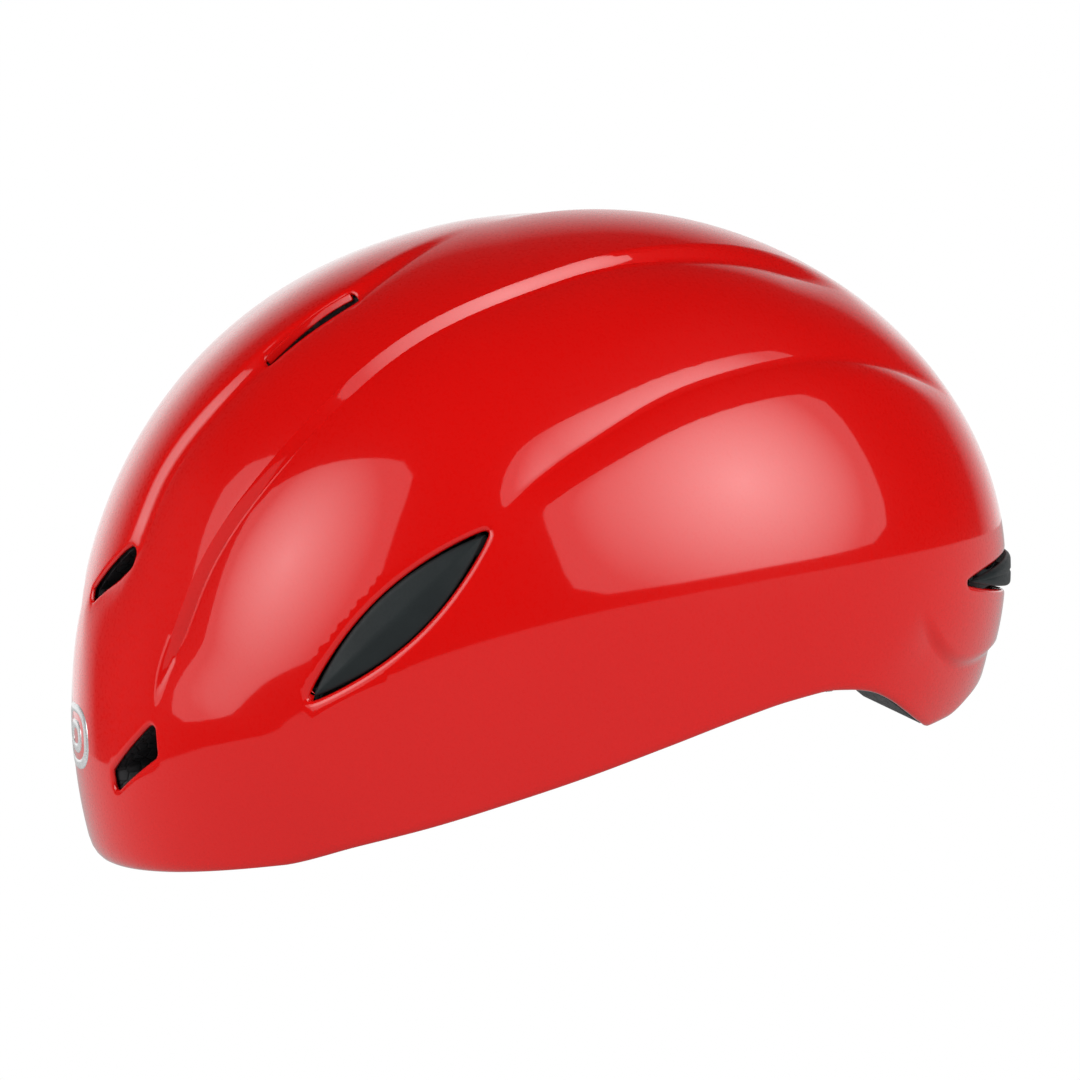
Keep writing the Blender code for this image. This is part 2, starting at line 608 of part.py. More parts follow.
# buckle: socket on the right-hand strap, prongs on the left-hand strap
BY = HEAD_Y
ARM_Z = CHORD_Z + 3.0       # the prongs work above the webbing, which passes under them
sock = add("buckle_socket", box(26.0, 23.0, 9.2, (-14.0, BY, CHORD_Z + 2.0), 1.8), NYLON)
cut(sock, cutter("socket_pocket_cut", box(21.0, 18.4, 3.5, (-8.2, BY, ARM_Z))))
cut(sock, cutter("socket_side_cut", box(7.0, 30.0, 3.5, (-12.0, BY, ARM_Z))))
cut(sock, cutter("socket_strap_cut", box(10.0, 15.8, 2.2, (-27.0, BY, CHORD_Z))))
slide = bpy.data.objects.new("buckle_axis", None)
slide.location = Vector((0, BY, CHORD_Z)) * MM
PARTS.objects.link(slide)
prong = add("buckle_prongs", box(15.0, 21.0, 8.0, (8.5, 0, 1.3), 1.6), NYLON, parent=slide)
for k in (-1, 1):
    tip = cutter(("front", "back")[k > 0] + "_prong_arm",
                 box(18.5, 2.6, 2.6, (-5.1, k * 7.4, 3.0)))
    tip.parent = slide
    cut(prong, tip, "UNION")
mid_t = cutter("centre_tongue", box(14.0, 5.0, 2.2, (-3.1, 0, 3.0)))
mid_t.parent = slide
cut(prong, mid_t, "UNION")
slot = cutter("prong_strap_cut", box(34.0, 15.8, 2.3, (12.0, 0, 0)))
slot.parent = slide
cut(prong, slot)

# ---------------------------------------------------------------- dial cradle
PIVOT_Y, PIVOT_Z = HEAD_Y - HEAD_B * math.cos(math.radians(80)), 28.0
for sx, side in ((1, "left"), (-1, "right")):
    wall_strip(side + "_temple_arm", sx * 74.0, 28.0, sx * 139.0, 27.0, 6.0, 15.0, 1.8, NYLON, 22)
    hole = bmesh.new()
    bmesh.ops.create_cone(hole, cap_ends=True, segments=20, radius1=3.2 * MM, radius2=3.2 * MM,
                          depth=14 * MM, matrix=Matrix.Translation(
                              Vector((sx * 70.5, PIVOT_Y, PIVOT_Z)) * MM) @
                          Matrix.Rotation(math.pi / 2, 4, "Y"))
    cut(bpy.data.objects[side + "_temple_arm"], cutter(side + "_pivot_cut", hole))
    turned(side + "_temple_pivot",
           [(0, 9.0), (4.6, 9.0), (5.0, 8.4), (5.0, 7.3), (2.8, 7.3), (2.8, 2.2), (6.0, 2.2),
            (6.0, 0.0), (0, 0.0)], NYLON,
           aim((sx * 75.3, PIVOT_Y, PIVOT_Z), (-sx, 0, 0)), 20)

TILT = math.radians(-28)
cradle = bpy.data.objects.new("cradle_frame", None)
cradle.location = Vector((0, 79.0, 22.0)) * MM
cradle.rotation_euler = (TILT, 0, 0)
PARTS.objects.link(cradle)
cover = add("dial_housing_cover", box(58.0, 5.2, 25.0, (0, 1.6, 0), 1.5), NYLON, parent=cradle)


def rod(r, length, at, seg=24):
    bm = bmesh.new()
    bmesh.ops.create_cone(bm, cap_ends=True, segments=seg, radius1=r * MM, radius2=r * MM,
                          depth=length * MM, matrix=Matrix.Translation(Vector(at) * MM) @
                          Matrix.Rotation(-math.pi / 2, 4, "X"))
    return bm


for t in (cutter("rack_channel_cut", box(80.0, 3.2, 18.6, (0, -0.2, 0))),
          cutter("shaft_hole_cut", rod(2.6, 20, (0, 2, 0)))):
    t.parent = cradle
    cut(cover, t)
add("dial_housing_base", box(56.0, 1.8, 24.0, (0, -2.9, 0), 0.7), NYLON, parent=cradle)

TEETH, MODULE = 10, 0.6
PITCH_R = TEETH * MODULE / 2
pinion = add("dial_pinion", rod(1.0, 1.8, (0, 0, 0), 4 * TEETH), NYLON, parent=cradle)
for v in pinion.data.vertices:
    a = math.atan2(v.co.z, v.co.x)
    k = round(a / (math.tau / (4 * TEETH)))
    r = PITCH_R + (0.42 if k % 4 in (0, 1) else -0.62)
    a = k * math.tau / (4 * TEETH) + (0.028 if k % 4 == 0 else -0.028 if k % 4 == 1 else 0.0)
    a -= math.tau / (8 * TEETH)
    v.co.x, v.co.z = r * math.cos(a) * MM, r * math.sin(a) * MM
shaft = cutter("pinion_shaft", rod(2.1, 8.2, (0, 4.4, 0), 20))
shaft.parent = cradle
cut(pinion, shaft, "UNION")

knob = add("dial_knob", rod(1.0, 8.0, (0, 8.8, 0), 72), NYLON, parent=cradle)
for v in knob.data.vertices:
    a = math.atan2(v.co.z, v.co.x)
    r = 12.6 + 0.55 * math.cos(12 * a)
    r -= 1.2 if v.co.y > 8.8 * MM else 0.0
    v.co.x, v.co.z = r * math.cos(a) * MM, r * math.sin(a) * MM
bore = cutter("knob_bore_cut", rod(2.45, 8.4, (0, 4.75, 0), 20))
bore.parent = cradle
cut(knob, bore)

# racks: straight and toothed through the housing, then curving out along the head form
RACK_PITCH = math.pi * MODULE
RACK_X = [-12.0, -8.0] + [RACK_PITCH * (j + f) for j in range(-2, 6)
                          for f in (-0.33, -0.09, 0.09, 0.33)] + \
    [13.0, 18.0, 24.0, 29.0, 32.0, 35.0, 38.0, 41.0, 44.0, 47.0, 50.0, 53.0]


def rack(side, sx, up):
    x = np.array(RACK_X)
    tooth = np.array([1.0 if -4.5 < v < 11 and abs(v / RACK_PITCH - round(v / RACK_PITCH)) < 0.2
                      else 0.0 for v in x])
    inner = PITCH_R + 0.7 - 0.8 * tooth
    back = cradle.matrix_basis.inverted()
    out = smooth(x, 30, 40)
    # beyond the housing the band follows the head form, level and inside the temple arm
    plan = cubic([20, 28, 35, 43.5, 49.5, 54], [0, 0, -0.9, -8.4, -16.0, -23.0])(np.clip(x, 20, 54))
    plan = np.where(x < 28, 0, plan)
    mid, half = [], []
    for xx, i, w, dy in zip(x, inner, out, plan):
        a = Vector((sx * xx, 0, up * (i + 8.9) / 2))
        lvl = Vector((sx * xx, 79.0 + dy, 27.0)) * MM
        lvl = back @ lvl / MM
        mid.append(a.lerp(lvl, w))
        ha = Vector((0, 0, (8.9 - i) / 2))
        hb = back.to_3x3() @ Vector((0, 0, 4.6))
        half.append(ha.lerp(hb, w))
    mid, half = np.array(mid), np.array(half)
    n = len(x) - 1

    def pick(arr):
        return lambda u: arr[np.round(u * n).astype(int)]
    return strip(side + "_rack_arm", pick(mid), pick(half), 2.0, 1.6, NYLON, n, across=1,
                 parent=cradle)


rack("left", 1, 1)
rack("right", -1, -1)
for sx, side in ((1, "left"), (-1, "right")):
    bm = bmesh.new()
    bmesh.ops.create_grid(bm, x_segments=6, y_segments=6, size=1.0)
    for v in bm.verts:
        s, t = v.co.x, v.co.y
        v.co = Vector((sx * 15.0 + 11.0 * s * math.sqrt(1 - 0.4 * t * t), -4.4,
                       10.0 * t * math.sqrt(1 - 0.4 * s * s))) * MM
    ob = add(side + "_nape_pad", bm, PAD, parent=cradle)
    solidify(ob, 4.0, 1.0 if ob.data.polygons[0].normal.y < 0 else -1.0)

# height strap: rises from the housing along the rear wall, in front of its clip
strip("height_strap", lambda u: np.stack([0 * u, 85.0 + 1.0 * smooth(u, 0, 1), 37.8 + 30 * u], -1),
      lambda u: np.tile([1.0, 0.0, 0.0], (len(u), 1)), 12.0, 1.6, NYLON, 8)
add("height_clip", box(16.0, 2.0, 10.0, (0, 91.2, 58.0), 0.6), NYLON)
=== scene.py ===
"""Looks of the short-tail cycling helmet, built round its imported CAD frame.

Row frame: +X to the wearer's left, -Y forward, +Z up.  Lengths are in millimetres until a mesh is
made.  The form functions repeat part.py's, because this script reads only the frame.
"""
import math

import bmesh
import bpy
import numpy as np
from mathutils import Matrix, Vector
from mathutils.geometry import delaunay_2d_cdt


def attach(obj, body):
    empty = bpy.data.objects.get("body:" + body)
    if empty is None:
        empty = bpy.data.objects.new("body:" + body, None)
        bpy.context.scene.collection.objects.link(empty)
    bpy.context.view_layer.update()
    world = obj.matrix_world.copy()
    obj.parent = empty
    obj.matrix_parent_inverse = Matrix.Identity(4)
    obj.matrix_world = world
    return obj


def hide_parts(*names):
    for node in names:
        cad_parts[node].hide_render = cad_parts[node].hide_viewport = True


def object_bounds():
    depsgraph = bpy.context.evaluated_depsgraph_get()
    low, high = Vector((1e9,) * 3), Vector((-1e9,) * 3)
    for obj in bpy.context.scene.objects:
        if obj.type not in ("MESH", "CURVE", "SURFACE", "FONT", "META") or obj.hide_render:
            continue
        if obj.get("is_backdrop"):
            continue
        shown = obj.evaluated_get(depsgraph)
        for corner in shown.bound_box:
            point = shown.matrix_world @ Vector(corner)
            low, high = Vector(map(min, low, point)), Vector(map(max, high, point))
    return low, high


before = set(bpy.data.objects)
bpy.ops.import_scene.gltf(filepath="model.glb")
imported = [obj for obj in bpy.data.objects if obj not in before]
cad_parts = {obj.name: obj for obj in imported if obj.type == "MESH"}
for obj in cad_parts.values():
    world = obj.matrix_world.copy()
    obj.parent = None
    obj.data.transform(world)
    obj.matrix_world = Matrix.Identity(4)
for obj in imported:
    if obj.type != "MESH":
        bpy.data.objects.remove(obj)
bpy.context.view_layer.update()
MM = 0.001
RNG = np.random.default_rng(7)

# ---------------------------------------------------------------- the form
EYE_Z, Y_SHIFT = 54.9, -0.65
SQUARE, CROWN = 2.15, (40, 85)
SHELL_T, GAP, EDGE = 1.5, 0.35, 0.35
HEAD_A, HEAD_B, HEAD_C = 78.0, 102.0, 100.0
HEAD_Y, HEAD_Z = -2.0, 32.0
WEB_W, WEB_T, PAD_T = 15.0, 1.4, 5.0
MID_A = [-45, -22, 0, 22, 45, 68, 90, 112, 135, 158, 180, 202, 225]
MID_R = [165.4, 152.0, 138.0, 127.7, 119.0, 112.3, 109.7, 114.2, 122.4, 133.8, 142.3, 137.8, 116.6]
SIDE_A = [-45, -22, 0, 22, 45, 68, 90]
SIDE_R = [118.0, 106.0, 103.0, 105.0, 108.5, 108.5, 109.7]
RIM = [(0, 0.0), (34, 0.0), (45, 2.7), (55, 4.8), (66, 7.6), (79, 10.9),
       (92, 14.6), (106, 18.4), (113, 19.7), (119, 20.0), (124, 18.6), (128, 16.4), (132, 12.4),
       (136, 7.4), (140, 2.8), (143.5, 0.0), (149, 0.0), (156, 2.4), (163, 4.6), (171, 8.6),
       (180, 11.0)]
MIDDLE = np.array([0, Y_SHIFT, EYE_Z])


def cubic(xs, ys):
    """Natural cubic spline through the given knots."""
    xs, ys = np.asarray(xs, float), np.asarray(ys, float)
    h, n = np.diff(xs), len(xs)
    A, b = np.eye(n), np.zeros(n)
    for i in range(1, n - 1):
        A[i, i - 1:i + 2] = h[i - 1], 2 * (h[i - 1] + h[i]), h[i]
        b[i] = 6 * ((ys[i + 1] - ys[i]) / h[i] - (ys[i] - ys[i - 1]) / h[i - 1])
    m = np.linalg.solve(A, b)

    def f(x):
        x = np.asarray(x, float)
        k = np.clip(np.searchsorted(xs, x) - 1, 0, n - 2)
        d, e = x - xs[k], xs[k + 1] - x
        return (m[k] * e ** 3 + m[k + 1] * d ** 3) / (6 * h[k]) + \
            (ys[k] / h[k] - m[k] * h[k] / 6) * e + (ys[k + 1] / h[k] - m[k + 1] * h[k] / 6) * d
    return f


def monotone(pts):
    """Cubic through the knots that never overshoots them, so flats stay flat."""
    xs, ys = np.array(pts, float).T
    h, d = np.diff(xs), np.diff(ys) / np.diff(xs)
    t = np.zeros(len(xs))
    for i in range(1, len(xs) - 1):
        if d[i - 1] * d[i] > 0:
            w1, w2 = 2 * h[i] + h[i - 1], h[i] + 2 * h[i - 1]
            t[i] = (w1 + w2) / (w1 / d[i - 1] + w2 / d[i])

    def f(x):
        x = np.clip(np.asarray(x, float), xs[0], xs[-1])
        k = np.clip(np.searchsorted(xs, x) - 1, 0, len(xs) - 2)
        s = (x - xs[k]) / h[k]
        return ys[k] * (1 + 2 * s) * (1 - s) ** 2 + t[k] * h[k] * s * (1 - s) ** 2 + \
            ys[k + 1] * s * s * (3 - 2 * s) + t[k + 1] * h[k] * s * s * (s - 1)
    return f


mid_r = cubic(MID_A, MID_R)
side_r = cubic(SIDE_A + [180 - a for a in SIDE_A[-2::-1]], SIDE_R + SIDE_R[-2::-1])
rim_z = monotone(RIM)


def smooth(x, a, b):
    s = np.clip((np.asarray(x, float) - a) / (b - a), 0, 1)
    return s * s * (3 - 2 * s)


def ramp(x, w):
    """0 to 1 over a width, with firmer corners than smooth()."""
    t = np.clip(x / w, 0, 1)
    return 0.45 * t * t * (3 - 2 * t) + 0.55 * t


def dome(phi, psi):
    phi, psi = np.broadcast_arrays(np.asarray(phi, float), np.asarray(psi, float))
    c, s = np.cos(np.radians(phi)), np.sin(np.radians(phi))
    rm = mid_r(np.where(c >= 0, psi, 180 - psi))
    e = 2 + (SQUARE - 2) * (1 - smooth(psi, *CROWN))
    r = ((np.abs(c) / rm) ** e + (np.abs(s) / side_r(psi)) ** e) ** (-1 / e)
    ce, se = np.cos(np.radians(psi)), np.sin(np.radians(psi))
    return np.stack([r * ce * s, -r * ce * c + Y_SHIFT, EYE_Z + r * se], -1)


def heading(phi):
    return np.abs((np.asarray(phi, float) + 180) % 360 - 180)


def rim_psi_exact(a):
    want = rim_z(a)
    lo, hi = np.full(a.shape, -44.0), np.full(a.shape, 10.0)
    for _ in range(34):
        m = (lo + hi) / 2
        low = dome(a, m)[..., 2] < want
        lo, hi = np.where(low, m, lo), np.where(low, hi, m)
    return (lo + hi) / 2


RIM_TABLE_A = np.linspace(0, 180, 1441)
RIM_TABLE = rim_psi_exact(RIM_TABLE_A)


def rim_psi(phi):
    return np.interp(heading(phi), RIM_TABLE_A, RIM_TABLE)


def angles(p):
    q = np.asarray(p, float) - MIDDLE
    return (np.degrees(np.arctan2(q[..., 0], -q[..., 1])),
            np.degrees(np.arctan2(q[..., 2], np.hypot(q[..., 0], q[..., 1]))))


def to_dome(p):
    return dome(*angles(p))


def dome_normal(phi, psi):
    e = 0.3
    du = dome(phi + e, psi) - dome(phi - e, psi)
    dv = dome(phi, np.minimum(psi + e, 89.9)) - dome(phi, psi - e)
    n = np.cross(du, dv)
    n[psi > 89.4] = [0, 0, 1]
    return n / np.linalg.norm(n, axis=-1)[..., None]


LINE_1 = [(3, -133, 70), (20, -128, 79), (31, -121, 88), (33, -111, 105), (39, -91, 125),
          (43, -71, 139), (44, -51, 148), (35, -29, 157), (24, -8, 161), (18, 12, 163),
          (21, 35, 161), (28, 62, 152), (32, 84, 141), (31, 102, 126), (24, 118, 105)]
LINE_2 = [(50, -126, 42), (53, -122, 54), (57, -115, 67), (60, -109, 79), (66, -91, 100),
          (70, -66, 120), (69, -41, 134), (64, -10, 142), (58, 20, 146), (56, 46, 144),
          (50, 72, 137), (42, 92, 128), (35, 100, 124)]
LINE_3 = [(97, -36, 82), (97, -21, 92), (95, 0, 101), (91, 22, 108), (86, 44, 111),
          (78, 67, 111), (66, 91, 106), (50, 114, 96), (40, 124, 89)]
LINE_4 = [(84, 85, 36), (81, 89, 29), (78, 92, 24), (70, 100, 16), (57, 112, 13), (38, 124, 14),
          (0, 130, 17)]


def path3(pts, n=90):
    p = np.array(pts, float)
    t = np.concatenate([[0], np.cumsum(np.linalg.norm(np.diff(p, axis=0), axis=1))])
    u = np.linspace(0, t[-1], n)
    return np.stack([cubic(t, p[:, k])(u) for k in range(3)], -1)


LINES = [to_dome(path3(l)) for l in (LINE_1, LINE_2, LINE_3, LINE_4)]


def off_line(p, line, centre=(0, Y_SHIFT, EYE_Z - 20)):
    """Signed distance to a line (positive below it) and the fraction along it, in blocks."""
    a, b = line[:-1], line[1:]
    d = b - a
    dist, frac = np.empty(len(p)), np.empty(len(p))
    for s in range(0, len(p), 6000):
        q = p[s:s + 6000]
        t = np.clip(((q[:, None] - a) * d).sum(-1) / (d * d).sum(-1), 0, 1)
        near = a + d * t[..., None]
        r = np.linalg.norm(q[:, None] - near, axis=-1)
        k = r.argmin(1)
        i = np.arange(len(q))
        side = np.einsum("ij,ij->i", np.cross(d[k], q - np.array(centre)), q - near[i, k])
        dist[s:s + 6000] = r[i, k] * np.sign(side)
        frac[s:s + 6000] = (k + t[i, k]) / len(a)
    return dist, frac


def wall_2(u):
    return 2.6 + 6.4 * smooth(u, 0.66, 0.95)


def relief(p):
    """Depth of the style lines' steps on the shell, at or below the smooth form."""
    q = p * [1, 1, 1]
    q[:, 0] = np.abs(q[:, 0])
    h = np.zeros(len(q))
    d, u = off_line(q, LINES[0])
    amp = 2.3 * smooth(u, 0.0, 0.08) * (1 - smooth(u, 0.38, 0.56))
    h -= np.where(d > 0, amp * np.exp(-np.clip(d, 0, None) / 13), amp * (1 - ramp(-d, 4.2)))
    ch = 2.6 * smooth(u, 0.56, 0.70) * (1 - smooth(u, 0.9, 1.0))
    h -= np.where(d > 0, 0, ch * ramp(-d, 6.0))
    d, u = off_line(q, LINES[1])
    amp = 2.5 * smooth(u, 0.0, 0.1) * (1 - smooth(u, 0.88, 1.0))
    h -= np.where(d > 0, amp * np.exp(-np.clip(d, 0, None) / 16), amp * (1 - ramp(-d, wall_2(u))))
    d, u = off_line(q, LINES[2])
    amp = 1.7 * smooth(u, 0.0, 0.15) * (1 - smooth(u, 0.85, 1.0))
    h -= amp * (0.5 * np.exp(-(d / np.where(d > 0, 5, 9)) ** 2) +
                0.5 * np.exp(-np.abs(d) / np.where(d > 0, 2.2, 4.5)))
    d, u = off_line(q, LINES[3])
    amp = 1.6 * smooth(u, 0.0, 0.15)
    h -= np.where(d > 0, amp * np.exp(-np.clip(d, 0, None) / 14), amp * (1 - ramp(-d, 3.2)))
    return h


# ---------------------------------------------------------------- flat chart of the form
def from_chart(uv):
    phi = np.degrees(np.arctan2(uv[:, 0], -uv[:, 1]))
    rho = np.hypot(uv[:, 0], uv[:, 1])
    return phi, 90 - rho * (90 - rim_psi(phi)), rho


def to_chart(p):
    phi, psi = angles(p)
    rho = (90 - psi) / (90 - rim_psi(phi))
    a = np.radians(phi)
    return np.stack([rho * np.sin(a), -rho * np.cos(a)], -1)


def swell(poly, r, step=1.1):
    """Convex outline grown by r with round corners, resampled at an even step."""
    poly = np.asarray(poly, float)
    area = 0.5 * np.sum(poly[:, 0] * np.roll(poly[:, 1], -1) - poly[:, 1] * np.roll(poly[:, 0], -1))
    if area < 0:
        poly = poly[::-1]
    e = np.roll(poly, -1, 0) - poly
    n = np.stack([e[:, 1], -e[:, 0]], -1) / np.linalg.norm(e, axis=1)[:, None]
    out = []
    for i in range(len(poly)):
        a0 = math.atan2(n[i - 1][1], n[i - 1][0])
        a1 = math.atan2(n[i][1], n[i][0])
        da = (a1 - a0) % math.tau
        k = max(1, int(math.degrees(da) / 12))
        for j in range(k + 1):
            a = a0 + da * j / k
            out.append(poly[i] + r * np.array([math.cos(a), math.sin(a)]))
    out = np.array(out)
    out = np.vstack([out, out[:1]])
    keep = np.concatenate([[True], np.linalg.norm(np.diff(out, axis=0), axis=1) > 1e-6])
    out = out[keep]
    s = np.concatenate([[0], np.cumsum(np.linalg.norm(np.diff(out, axis=0), axis=1))])
    m = max(16, int(round(s[-1] / step)))
    t = np.linspace(0, s[-1], m, endpoint=False)
    return np.stack([np.interp(t, s, out[:, 0]), np.interp(t, s, out[:, 1])], -1)


class Opening:
    """An outline in a plane, pushed along a direction onto the form."""

    def __init__(self, name, base, round_by, at, ax, inward, roll=1.5, sink=1.2):
        self.name, self.base, self.r = name, np.array(base, float), round_by
        self.inn = np.array(inward, float) / np.linalg.norm(inward)
        ax = np.array(ax, float)
        ax = ax - self.inn * (ax @ self.inn)
        self.ax = ax / np.linalg.norm(ax)
        self.wd = np.cross(self.inn, self.ax)
        self.at = np.array(at, float)
        self.roll, self.sink = roll, sink

    def ring(self, grow, step=1.1, count=None):
        o = swell(self.base, self.r + grow, step)
        if count:
            s = np.linspace(0, len(o), count, endpoint=False)
            o = np.stack([np.interp(s, np.arange(len(o) + 1), np.append(o[:, k], o[0, k]))
                          for k in range(2)], -1)
        p = self.at + o[:, :1] * self.ax + o[:, 1:] * self.wd
        lo, hi = np.full(len(p), -25.0), np.full(len(p), 25.0)
        for _ in range(40):
            m = (lo + hi) / 2
            q = p + m[:, None] * self.inn
            out = np.linalg.norm(q - MIDDLE, axis=1) > np.linalg.norm(to_dome(q) - MIDDLE, axis=1)
            lo, hi = np.where(out, m, lo), np.where(out, hi, m)
        return p + lo[:, None] * self.inn

    def flip(self):
        m = np.array([-1, 1, 1])
        o = Opening(self.name, self.base, self.r, self.at * m, self.ax * m, self.inn * m,
                    self.roll, self.sink)
        o.wd = self.wd * m
        return o


def lens(length, width, power=0.85, n=34):
    s = np.linspace(0, 1, n)
    w = width / 2 * np.sin(np.pi * s) ** power
    x = (s - 0.5) * length
    top = np.stack([x, w], -1)
    return np.vstack([top, np.stack([x[1:-1], -w[1:-1]], -1)[::-1]])


def hull(poly):
    """Convex hull of a small outline."""
    pts = sorted(map(tuple, np.round(poly, 6)))
    def half(ps):
        h = []
        for p in ps:
            while len(h) > 1 and (h[-1][0] - h[-2][0]) * (p[1] - h[-2][1]) - \
                    (h[-1][1] - h[-2][1]) * (p[0] - h[-2][0]) <= 0:
                h.pop()
            h.append(p)
        return h[:-1]
    return np.array(half(pts) + half(pts[::-1]))


A_TIP, B_TIP = np.array([82.3, -89.0, 44.2]), np.array([97.4, -36.6, 81.0])
WINDOW = Opening("side_window", hull(lens(np.linalg.norm(B_TIP - A_TIP) - 1.6, 12.6)), 0.8,
                 (A_TIP + B_TIP) / 2, B_TIP - A_TIP, (-1, 0.22, -0.12), 1.9, 1.5)


def slot_shape(a, b, h_a, h_b, r, inward, up, lean=0.0):
    """Plan of a tapered slot from end a to end b, in the plane across its inward direction."""
    a, b = np.array(a, float), np.array(b, float)
    inn = np.array(inward, float) / np.linalg.norm(inward)
    mid, ax = (a + b) / 2, b - a
    ax = ax - inn * (ax @ inn)
    ax /= np.linalg.norm(ax)
    wd = np.cross(inn, ax)
    up = np.array(up, float)
    pts = []
    for end, h, sh in ((a, h_a, -lean), (b, h_b, lean)):
        for k in (-1, 1):
            q = end + up * k * h / 2 - mid
            pts.append((q @ ax + k * sh, q @ wd))
    pts = hull(pts)
    c = pts.mean(0)
    e = np.roll(pts, -1, 0) - pts
    n = np.stack([-e[:, 1], e[:, 0]], -1) / np.linalg.norm(e, axis=1)[:, None]
    small = []
    for i in range(len(pts)):         # move each side in by r, and meet at the corners
        n0, n1 = n[i - 1], n[i]
        m = np.array([n0, n1])
        small.append(np.linalg.solve(m, np.array([n0 @ pts[i] + r, n1 @ pts[i] + r])))
    return np.array(small), mid, ax


def slot(name, a, b, h_a, h_b, r, inward, up, **k):
    base, mid, ax = slot_shape(a, b, h_a, h_b, r, inward, up)
    return Opening(name, base, r, mid, ax, inward, **k)


UPPER = slot("upper_vent", (8.5, -131.0, 76.5), (30.5, -121.5, 88.0), 4.0, 6.0, 0.9, (0, 1, 0),
             (-0.1, 0.3, 0.95), roll=1.2, sink=1.1)
LOWER = slot("lower_vent", (31.0, -137.0, 26.0), (50.0, -127.0, 38.0), 6.5, 10.0, 1.3, (0, 1, 0),
             (0, 0, 1), roll=1.4, sink=1.1)
SLIT = slot("crown_slit", (41.5, -78.0, 134.0), (42.0, -49.0, 149.0), 4.5, 4.5, 1.6,
            (-0.45, 0.12, -1), (1, 0, 0), roll=1.6, sink=1.2)
REAR_Z, REAR_H, REAR_SPAN = 36.0, 13.0, 33.0


def rear_outline(grow, n=150):
    """Outline of the rear window on the form; it wraps too far round for a plane."""
    t = np.linspace(-1, 1, n // 2)
    w = REAR_H / 2 * np.clip(1 - np.abs(t) ** 2.2, 0, 1) ** 0.8
    arc = 136.0 * math.radians(REAR_SPAN)
    flat = hull(np.vstack([np.stack([t * (arc - 0.9), w * 0.92], -1),
                           np.stack([t * (arc - 0.9), -w * 0.92], -1)]))
    o = swell(flat, 0.6 + grow, 1.3)
    phi = 180 - np.degrees(o[:, 0] / 136.0)
    z = REAR_Z + 1.5 * (o[:, 0] / arc) ** 2 + o[:, 1]
    psi = np.degrees(np.arctan2(z - EYE_Z, 138.0))
    return dome(phi, psi)


HOLES = []                       # name, ring function, roll, sink, opening or None
for o in (WINDOW, UPPER, LOWER, SLIT):
    for f in (o, o.flip()):
        HOLES.append((o.name, f.ring, f.roll, f.sink, f))
HOLES.append(("rear_window", rear_outline, 1.5, 1.2, None))


def inside(uv, loop):
    """Which chart points lie in a closed loop."""
    x, y = uv[:, 0], uv[:, 1]
    out = np.zeros(len(uv), bool)
    lo, hi = loop.min(0) - 1e-9, loop.max(0) + 1e-9
    near = (x > lo[0]) & (x < hi[0]) & (y > lo[1]) & (y < hi[1])
    idx = np.where(near)[0]
    if not len(idx):
        return out
    px, py = x[idx], y[idx]
    c = np.zeros(len(idx), bool)
    for (x0, y0), (x1, y1) in zip(loop, np.roll(loop, -1, 0)):
        if y0 == y1:
            continue
        hit = ((y0 > py) != (y1 > py)) & (px < (x1 - x0) * (py - y0) / (y1 - y0) + x0)
        c ^= hit
    out[idx] = c
    return out


